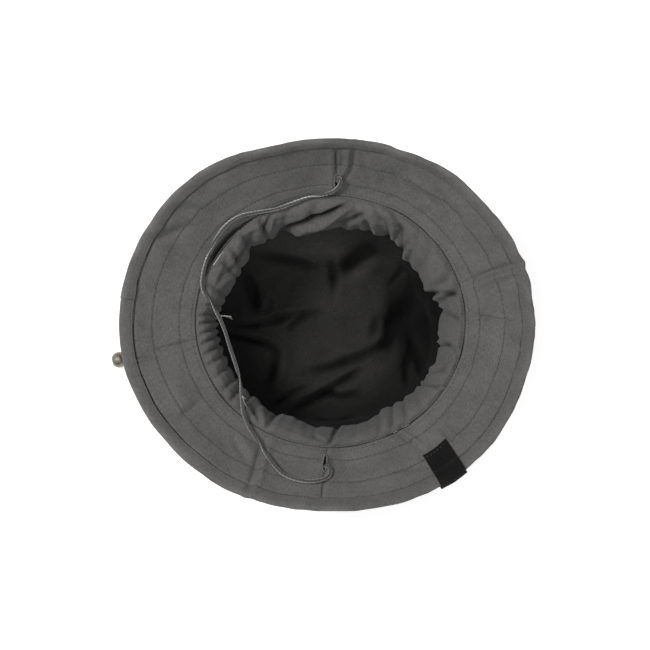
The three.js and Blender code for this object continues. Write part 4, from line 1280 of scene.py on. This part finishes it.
# ---------------------------------------------------------------- lining

LINING_CREASES = (  # chain of points in mm, width, depth, lip; lining_creases scales width and depth
    ([(-58, 54), (-39, 53), (-20, 51), (-8, 47)], 3.4, 3.0, 0.5),
    ([(-63, 46), (-55, 31), (-52, 12)], 4.0, 4.0, 0.6),
    ([(-80, 2), (-58, 2), (-30, 9), (-2, 13)], 2.4, 2.6, 0.8),
    ([(-77, -4), (-58, -8), (-44, -12), (-36, -18)], 2.2, 2.6, 0.8),
    ([(-37, -14), (-38, -26), (-43, -44)], 2.8, 2.2, 0.6),
    ([(42, 64), (22, 53), (8, 40)], 5.0, 4.4, 0.5),
    ([(3, 54), (6, 40), (6, 25)], 2.6, 1.8, 0.7),
    ([(56, 60), (70, 36), (64, 14), (50, 4), (44, -20)], 5.5, 5.4, 0.5),
    ([(60, 52), (55, 42), (48, 34)], 2.0, 1.8, 0.8),
    ([(-14, -33), (11, -27), (34, -18), (48, -8)], 3.0, 2.8, 0.7),
    ([(-30, -63), (-8, -52), (11, -42), (30, -28)], 2.8, 2.6, 1.0),
    ([(-4, -47), (12, -50), (28, -48)], 2.4, 2.0, 0.7),
    ([(63, 0), (68, -19), (77, -42)], 3.4, 4.0, 0.6),
    ([(64, -14), (60, -30), (60, -42)], 2.4, 2.0, 0.6),
    ([(-50, -64), (-27, -50), (-4, -42)], 2.2, 1.8, 0.8),
    ([(-8, -68), (6, -70), (20, -66)], 2.6, 2.2, 0.6),
    ([(-28, -2), (-24, 4), (-14, 10)], 2.0, 1.8, 0.8),
    ([(-44, 26), (-43, 20), (-47, 10)], 2.4, 2.0, 0.7),
    ([(40, 12), (37, 0), (34, -10)], 3.0, 1.8, 0.5),
    ([(-8, -22), (4, -20), (20, -25)], 3.4, 1.4, 0.5),
)
LINING_ROUND = 24 * mm  # radius of the corner between the lining's wall and floor


def lining_creases(x, y):
    """All the lining's handling creases, as a height."""
    return sum(
        crease(x, y, points, 1.2 * width, 1.9 * deep, lip)
        for points, width, deep, lip in LINING_CREASES
    )


def oval_radius(x, y):
    """Share of the way from the crown's middle to the edge of its top."""
    return np.hypot((x - SEAM_CENTRE[0]) / TOP_HALF[0], (y - SEAM_CENTRE[1]) / TOP_HALF[1])


def lining_painted_light(at):
    """The lining's painted light and shade: shade in its folds and round its corner, darkest at the front,
    and a painted highlight that makes its left side lighter."""
    x, y, z = at[..., 0], at[..., 1], at[..., 2]
    # Painted shade in the folds.
    fold = np.clip(-lining_creases(x, y) / (8 * mm), 0, 1)
    fold = fold * np.clip(1.6 - z / (40 * mm), 0, 1)
    radius = oval_radius(x, y)
    toward = np.arctan2(y - SEAM_CENTRE[1], x - SEAM_CENTRE[0])
    left = bell(turned(toward, 95), 0.85)
    front = bell(turned(toward, 10), 0.55)
    # Painted shade round the corner, and a painted highlight on the left side wall.
    corner = np.clip((radius - 0.6 + 0.14 * front) * (2.2 + 5 * front), 0, 0.6 + 0.38 * front) * (1 - left)
    painted_lit_wall = 0.75 * left * np.clip((radius - 0.5) * 4, 0, 1) * np.clip(z / (20 * mm), 0.4, 1)
    return painted_lit_wall - np.clip(1.3 * fold + corner, 0, 0.95)


LINING_LEANS = (  # angle in degrees, spread in degrees, mm that the loose wall leans inwards there
    (98, 52, 21), (168, 30, 7), (12, 34, 9), (285, 40, 3),
)


def sag(at):
    """The loose lining's own lie inside the crown: its wall leans in, most of all on the left, its
    floor rises in soft hills, and handling creases run across the floor."""
    x, y, z = at[..., 0], at[..., 1], at[..., 2]
    px, py = x - SEAM_CENTRE[0], y - SEAM_CENTRE[1]
    radius = oval_radius(x, y)
    depth = np.clip((84 * mm - z) / (84 * mm), 0, 1)
    depth = depth * depth * (3 - 2 * depth)
    toward = np.arctan2(py, px)
    lean = sum(
        bell(turned(toward, centre), math.radians(wide)) * deep * mm
        for centre, wide, deep in LINING_LEANS
    )
    pull = lean * depth * np.clip(radius, 0, 1.2) ** 1.5
    moved = at.copy()
    away = np.maximum(np.hypot(px, py), 1e-6)
    moved[..., 0] -= pull * px / away
    moved[..., 1] -= pull * py / away
    mx, my = moved[..., 0], moved[..., 1]
    lift = 1.6 * mm * (1 + noise(mx, my, 30 * mm, 111)) + 0.8 * mm * (1 + noise(mx, my, 13 * mm, 112))
    lift = lift + 3.5 * mm * np.clip(radius, 0, 1) ** 3 + 5.5 * mm
    lift = lift + lining_creases(mx, my)
    floor_share = np.clip(1 - (z - 2 * mm) / (34 * mm), 0, 1)
    floor_share = floor_share * floor_share * (3 - 2 * floor_share)
    moved[..., 2] += lift * floor_share
    return moved


def lining_corner(z):
    """How far the lining's wall stands in near its foot: a quarter round that runs into the floor."""
    low = np.clip((LINING_ROUND - z) / LINING_ROUND, 0, 1)
    return 0.8 * LINING_ROUND * (1 - np.sqrt(1 - low ** 2 * 0.995))


def lining_wall_point(angle, z, inward):
    """The lining's wall before it sags, following the crown's dents."""
    along = angle * 90 * mm
    fold = 0.7 * mm * noise(along, z, 13 * mm, 113) + 0.35 * mm * noise(along, z * 0.6, 5 * mm, 114)
    free = np.clip((86 * mm - z) / (20 * mm), 0, 1)
    return wall(angle, inward + crush(angle, z) + free * (0.9 * mm + fold) + lining_corner(z), z)


def lining():
    """Wall and floor of the lining: the wall runs from the seam down, the floor is an oval sheet."""
    angle = np.linspace(0, TURN, 501)[:, None]
    z = np.linspace(lining_high[2], 0.9 * mm, 84)[None, :]
    angle, z = np.broadcast_arrays(angle, z)
    face = sag(lining_wall_point(angle, z, 1.75 * mm))[:-1]
    back = sag(lining_wall_point(angle, z, 1.25 * mm))[:-1]
    uv = np.stack([angle * OPENING_RADIUS, z], -1)
    piece = shell("lining_wall_cloth", face, back, uv, wrap=True, wear_and_painted_light=lining_painted_light(face))
    settle(piece, LINING_DARK, "lining_side", slot="lining_cloth")
    face, back, uv = lining_floor_sheet(200)
    piece = shell("lining_floor_cloth", face, back, uv, wear_and_painted_light=lining_painted_light(face))
    settle(piece, LINING_DARK, "lining_top", slot="lining_cloth")


def lining_floor_sheet(count):
    """Face, back and UV of the lining's floor: a disc grid carried out to the wall's own outline."""
    x, y = disc_grid(count)
    angle, radius = np.arctan2(y, x), np.hypot(x, y)
    faces = []
    for z in (1.72 * mm, 1.22 * mm):
        inward = 2 * mm + crush(angle, np.full_like(angle, z)) + lining_corner(2.2 * mm)
        border = wall(angle, inward, np.full_like(angle, z))
        plan = SEAM_CENTRE + (border[..., :2] - SEAM_CENTRE) * radius[..., None]
        faces.append(sag(np.concatenate([plan, np.full_like(radius, z)[..., None]], -1)))
    return faces[0], faces[1], faces[0][..., :2]


LINING_STITCH = {"length": 1.7 * mm, "gap": 1.2 * mm, "slot": "lining_cloth"}


def lining_stitching():
    """Stitches on the lining: a broken row round its wall and two short marks on its floor."""
    for part, (low, high) in enumerate(((67, 124), (150, 200), (228, 300), (320, 400))):
        angle = np.linspace(math.radians(low), math.radians(high), 500)
        z = np.full(500, 62 * mm) + 0.6 * mm * noise(angle * OPENING_RADIUS, 0 * angle, 16 * mm, 115)
        at = lining_wall_point(angle, z, 1.75 * mm)
        path = sag(at)
        stitch_run(f"lining_row_{part}", path, -outwards(angle), LINING_THREAD, **LINING_STITCH)
    for part, (low, high) in enumerate((((-48, 30.5), (-30, 29)), ((31, 32.5), (44, 33.5)))):
        t = np.linspace(0, 1, 60)[:, None]
        plan = (np.array(low) * (1 - t) + np.array(high) * t) * mm
        at = np.concatenate([plan, np.full((60, 1), 1.75 * mm)], 1)
        path = sag(at)
        path[:, :2] = plan
        stitch_run(f"lining_mark_{part}", path, upwards(60), LINING_THREAD, **LINING_STITCH)


lining()
lining_stitching()


def care_label():
    """A blank woven label: a short wavy strip that stands away from the wall."""
    low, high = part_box("care_label")
    across = np.linspace(0, 1, 40)[:, None]
    up = np.linspace(0, 1, 30)[None, :]
    x = low[0] + (high[0] - low[0] - 4.5 * mm) * across
    y = 7.2 * mm + 1.2 * mm * np.sin(across * 3.4) + 0.7 * mm * np.sin(up * 3 + across * 4)
    z = low[2] + (high[2] - low[2]) * up + 1.2 * mm * np.sin(across * 3) - 4 * mm * across ** 2 * up
    face = np.stack(np.broadcast_arrays(x, y - 0.28 * mm, z), -1)
    back = np.stack(np.broadcast_arrays(x, y + 0.28 * mm, z), -1)
    uv = np.stack(np.broadcast_arrays(x, z), -1)
    settle(shell("care_label_strip", face, back, uv), LABEL_WHITE, "care_label", slot="label")


care_label()


# ---------------------------------------------------------------- crown

def crown_pucker(angle, z, seed):
    """Sewing marks on the crown: grooves at its top and bottom seams, ripples beside them."""
    along = angle * CROWN_RADIUS
    depth = np.zeros(np.shape(z))
    for height, width in ((4.5 * mm, 0.7 * mm), (SEAM_Z - 3.5 * mm, 0.7 * mm)):
        depth = depth - 0.25 * mm * bell(z - height, width)
        depth = depth + 0.22 * mm * noise(along, z, 3.4 * mm, seed) * bell(z - height, 5 * mm)
    depth = depth - 0.5 * mm * bell(z - 1.2 * mm, 1.2 * mm)
    for seam in SIDE_SEAMS.values():
        away = wrapped(angle - seam) * CROWN_RADIUS
        depth = depth - 0.6 * mm * bell(away, 1.1 * mm) + 0.35 * mm * bell(away - 3.2 * mm, 1.8 * mm)
        depth = depth + 0.3 * mm * bell(away, 8 * mm) * noise(z, away, 5 * mm, seed + 1)
    return depth


def crown_wall_point(angle, z, inward):
    """A place on the crown's wall, dented as the soft crown is."""
    return wall(angle, inward + crush(angle, z), z)


def crown_panel(panel):
    """Half of the crown's wall, from side seam to side seam."""
    first, last, turn = PANELS[panel]
    angle = np.linspace(SIDE_SEAMS[first] + 0.0006, SIDE_SEAMS[last] + turn - 0.0006, 300)[:, None]
    z = np.linspace(1.2 * mm, 91.7 * mm, 70)[None, :]
    angle, z = np.broadcast_arrays(angle, z)
    pucker = crown_pucker(angle, z, 121)
    face = crown_wall_point(angle, z, 0.2 * mm - pucker)
    back = crown_wall_point(angle, z, 0.8 * mm - np.minimum(pucker, 0) * 0.3)
    uv = np.stack([angle * CROWN_RADIUS, z], -1)
    wear_and_painted_light = 0.45 * bell(z - 1.2 * mm, 2.2 * mm) * (0.6 + 0.5 * noise(angle * CROWN_RADIUS, z, 9 * mm, 122))
    piece = shell(f"crown_wall_{panel}_cloth", face, back, uv, wear_and_painted_light=np.clip(wear_and_painted_light, 0, 1))
    settle(piece, CLOTH_GREY, f"crown_side_{panel}")


def crown_top():
    """The crown's oval top, resting on the table: gently puckered at its rim."""
    x, y = disc_grid(130)
    angle, radius = np.arctan2(y, x), np.hypot(x, y)
    half = TOP_HALF - crush(angle, 0 * angle)[..., None]
    plan = SEAM_CENTRE + np.stack([x, y], -1) * half
    arch = 0.55 * mm * (1 - radius ** 2) + 0.15 * mm * noise(plan[..., 0], plan[..., 1], 12 * mm, 124)
    away = (1 - radius) * TOP_HALF[0]
    rim = 0.5 * mm * bell(away, 1.4 * mm) + 0.2 * mm * bell(away - 4.5 * mm, 0.7 * mm)
    low = np.clip(arch, 0, 1) * 0.5 + rim
    high = low + CLOTH
    face = np.concatenate([plan, high[..., None]], -1)
    back = np.concatenate([plan, low[..., None]], -1)
    wear_and_painted_light = 0.5 * bell(away, 1.6 * mm)
    settle(shell("crown_top_cloth", face, back, plan, wear_and_painted_light=wear_and_painted_light), CLOTH_GREY, "crown_top")


def crown_stitching():
    """Topstitching near the crown's top corner, near the brim seam and down both side seams."""
    angle = np.linspace(0, TURN, 1400)
    for label, height in (("low", 4.5 * mm), ("high", SEAM_Z - 3.5 * mm)):
        z = np.full_like(angle, height)
        path = crown_wall_point(angle, z, 0.32 * mm)
        stitch_run(f"crown_row_{label}", path, outwards(angle), SEWING_THREAD)
    for label, seam in SIDE_SEAMS.items():
        for mark, offset in (("a", -2.6 * mm), ("b", 2.6 * mm)):
            z = np.linspace(6 * mm, 88 * mm, 300)
            turn = np.full(300, seam + offset / CROWN_RADIUS)
            path = crown_wall_point(turn, z, 0.18 * mm)
            stitch_run(f"crown_seam_{label}_{mark}", path, outwards(turn), SEWING_THREAD)


BAND_LOOPS = 16


def loop_bow(angle):
    """How far the loop band stands off the crown: nothing at its tacks, most between them."""
    return 1.9 * mm * np.abs(np.sin(angle * BAND_LOOPS / 2)) ** 1.4


def foliage_band():
    """The loop band round the crown: flat where it is tacked down, bowed out between the tacks."""
    angle = np.linspace(0, TURN, 641)[:, None]
    z = np.linspace(band_low[2], band_high[2], 18)[None, :]
    angle, z = np.broadcast_arrays(angle, z)
    middle = (band_low[2] + band_high[2]) / 2
    edge = np.abs(z - middle) / ((band_high[2] - band_low[2]) / 2)
    bow = loop_bow(angle) * (1 - 0.35 * edge ** 2)
    uneven = 0.35 * mm * noise(angle * LOOP_BAND_RADIUS, z, 8 * mm, 131)
    bow = bow + uneven * np.abs(np.sin(angle * BAND_LOOPS / 2))
    ridge = 0.25 * mm * bell(edge - 0.93, 0.07) - 0.14 * mm * bell(edge - 0.78, 0.05)
    face = crown_wall_point(angle, z, -0.95 * mm - bow - ridge)[:-1]
    back = crown_wall_point(angle, z, -0.15 * mm - bow)[:-1]
    uv = np.stack([angle * LOOP_BAND_RADIUS, z], -1)
    wear_and_painted_light = np.clip(0.5 * bell(edge - 1, 0.1) + 0.2 * bow / (2 * mm), 0, 1)[:-1]
    piece = shell("foliage_band_cloth", face, back, uv, wrap=True, wear_and_painted_light=wear_and_painted_light)
    settle(piece, CLOTH_GREY, "foliage_band")
    for number in range(BAND_LOOPS):
        turn = TURN * number / BAND_LOOPS
        height = np.linspace(band_low[2] + 1.5 * mm, band_high[2] - 1.5 * mm, 60)
        zigzag = turn + 0.7 * mm / LOOP_BAND_RADIUS * np.where(np.arange(60) % 2 == 0, -1, 1)
        path = crown_wall_point(zigzag, height, np.full(60, -1.05 * mm))
        outward = np.tile([math.cos(turn), math.sin(turn), 0.0], (60, 1))
        stitch_run(f"band_tack_{number:02d}", path, outward, SEWING_THREAD, length=1.25 * mm, gap=0.05 * mm,
                   thick=0.22 * mm)
    for label, height in (("low", band_low[2] + 2.6 * mm), ("high", band_high[2] - 2.6 * mm)):
        turn = np.linspace(0, TURN, 1400)
        path = crown_wall_point(turn, np.full_like(turn, height), -0.95 * mm - 0.75 * loop_bow(turn))
        stitch_run(f"band_row_{label}", path, outwards(turn), SEWING_THREAD)


for panel in PANELS:
    crown_panel(panel)
crown_top()
crown_stitching()
foliage_band()


# ---------------------------------------------------------------- ball, knot and lock

def lathe(name, profile, centre, axis, columns=64):
    """A closed profile of (radius, distance along the axis) turned about an axis."""
    axis = np.array(axis) / np.linalg.norm(axis)
    side = np.cross(axis, (0, 0, 1))
    side /= np.linalg.norm(side)
    other = np.cross(axis, side)
    turn = np.linspace(0, TURN, columns + 1)[:-1]
    spoke = side * np.cos(turn)[:, None] + other * np.sin(turn)[:, None]
    profile = np.array(profile)
    rings = centre + spoke[:, None] * profile[None, :, 0, None] + axis * profile[None, :, 1, None]
    return closed_ring(name, rings, 0.5 * mm)


def end_ball():
    """A metal ball with a groove round its middle, a bore for the cord and a recess in its far side
    for the knot."""
    bore, recess = 2.75 * mm, 3.1 * mm
    start, stop = math.asin(bore / BALL_RADIUS), math.pi - math.asin(recess / BALL_RADIUS)
    turn = np.linspace(start, stop, 60)
    groove = 0.16 * mm * bell((turn - math.pi / 2) * BALL_RADIUS, 0.28 * mm)
    outside = list(zip((BALL_RADIUS - groove) * np.sin(turn), -(BALL_RADIUS - groove) * np.cos(turn)))
    far = math.cos(math.asin(recess / BALL_RADIUS)) * BALL_RADIUS
    inside = [
        (recess - 0.25 * mm, far - 0.15 * mm), (recess - 0.3 * mm, 1.2 * mm),
        (bore - 0.1 * mm, 0.6 * mm), (bore - 0.25 * mm, -5.0 * mm),
    ]
    piece = lathe("cord_end_ball_shell", outside + inside, BALL_CENTRE, LEAD_OUT, 96)
    return settle(piece, BALL_METAL, "cord_end_ball", slot="ball")


def cord_knot():
    """The knot in the ball's recess: a three-lobed knot of cord, squashed along the lead."""
    turn = np.linspace(0, TURN, 241)[:-1]
    ring = np.linspace(0, TURN, 15)[:-1]
    size = 0.72 * mm
    curve = np.stack([
        0.9 * np.sin(3 * turn),
        np.sin(turn) + 2 * np.sin(2 * turn),
        np.cos(turn) - 2 * np.cos(2 * turn),
    ], 1)
    curve = curve * size * np.array([1.0, 0.62, 0.62])
    basis = np.stack([LEAD_OUT, LEAD_ACROSS, [0, 0, 1]])
    centre = BALL_CENTRE + LEAD_OUT * 3.4 * mm + curve @ basis
    forward = np.roll(centre, -1, 0) - np.roll(centre, 1, 0)
    forward /= np.linalg.norm(forward, axis=1, keepdims=True)
    side = np.cross(forward, LEAD_OUT + 0.01)
    side /= np.linalg.norm(side, axis=1, keepdims=True)
    up = np.cross(forward, side)
    yarn = 1 + 0.1 * np.sin(turn[:, None] * 26 + 2 * ring) * np.sin(turn[:, None] * 26 - 2 * ring)
    rings = swept(centre, side, up, 0.75 * mm * yarn, 0.75 * mm * yarn, ring)
    return settle(closed_ring("cord_knot_turns", rings), CORD_BRAID, "cord_knot", slot="cord")


ball = end_ball()
knot = cord_knot()
for node, material in (
    ("lock_body", LOCK_PLASTIC), ("lock_plunger", LOCK_PLASTIC), ("lock_spring", SPRING_STEEL),
):
    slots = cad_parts[node].data.materials
    slots.clear()
    slots.append(material)


# ---------------------------------------------------------------- studio

make_studio()
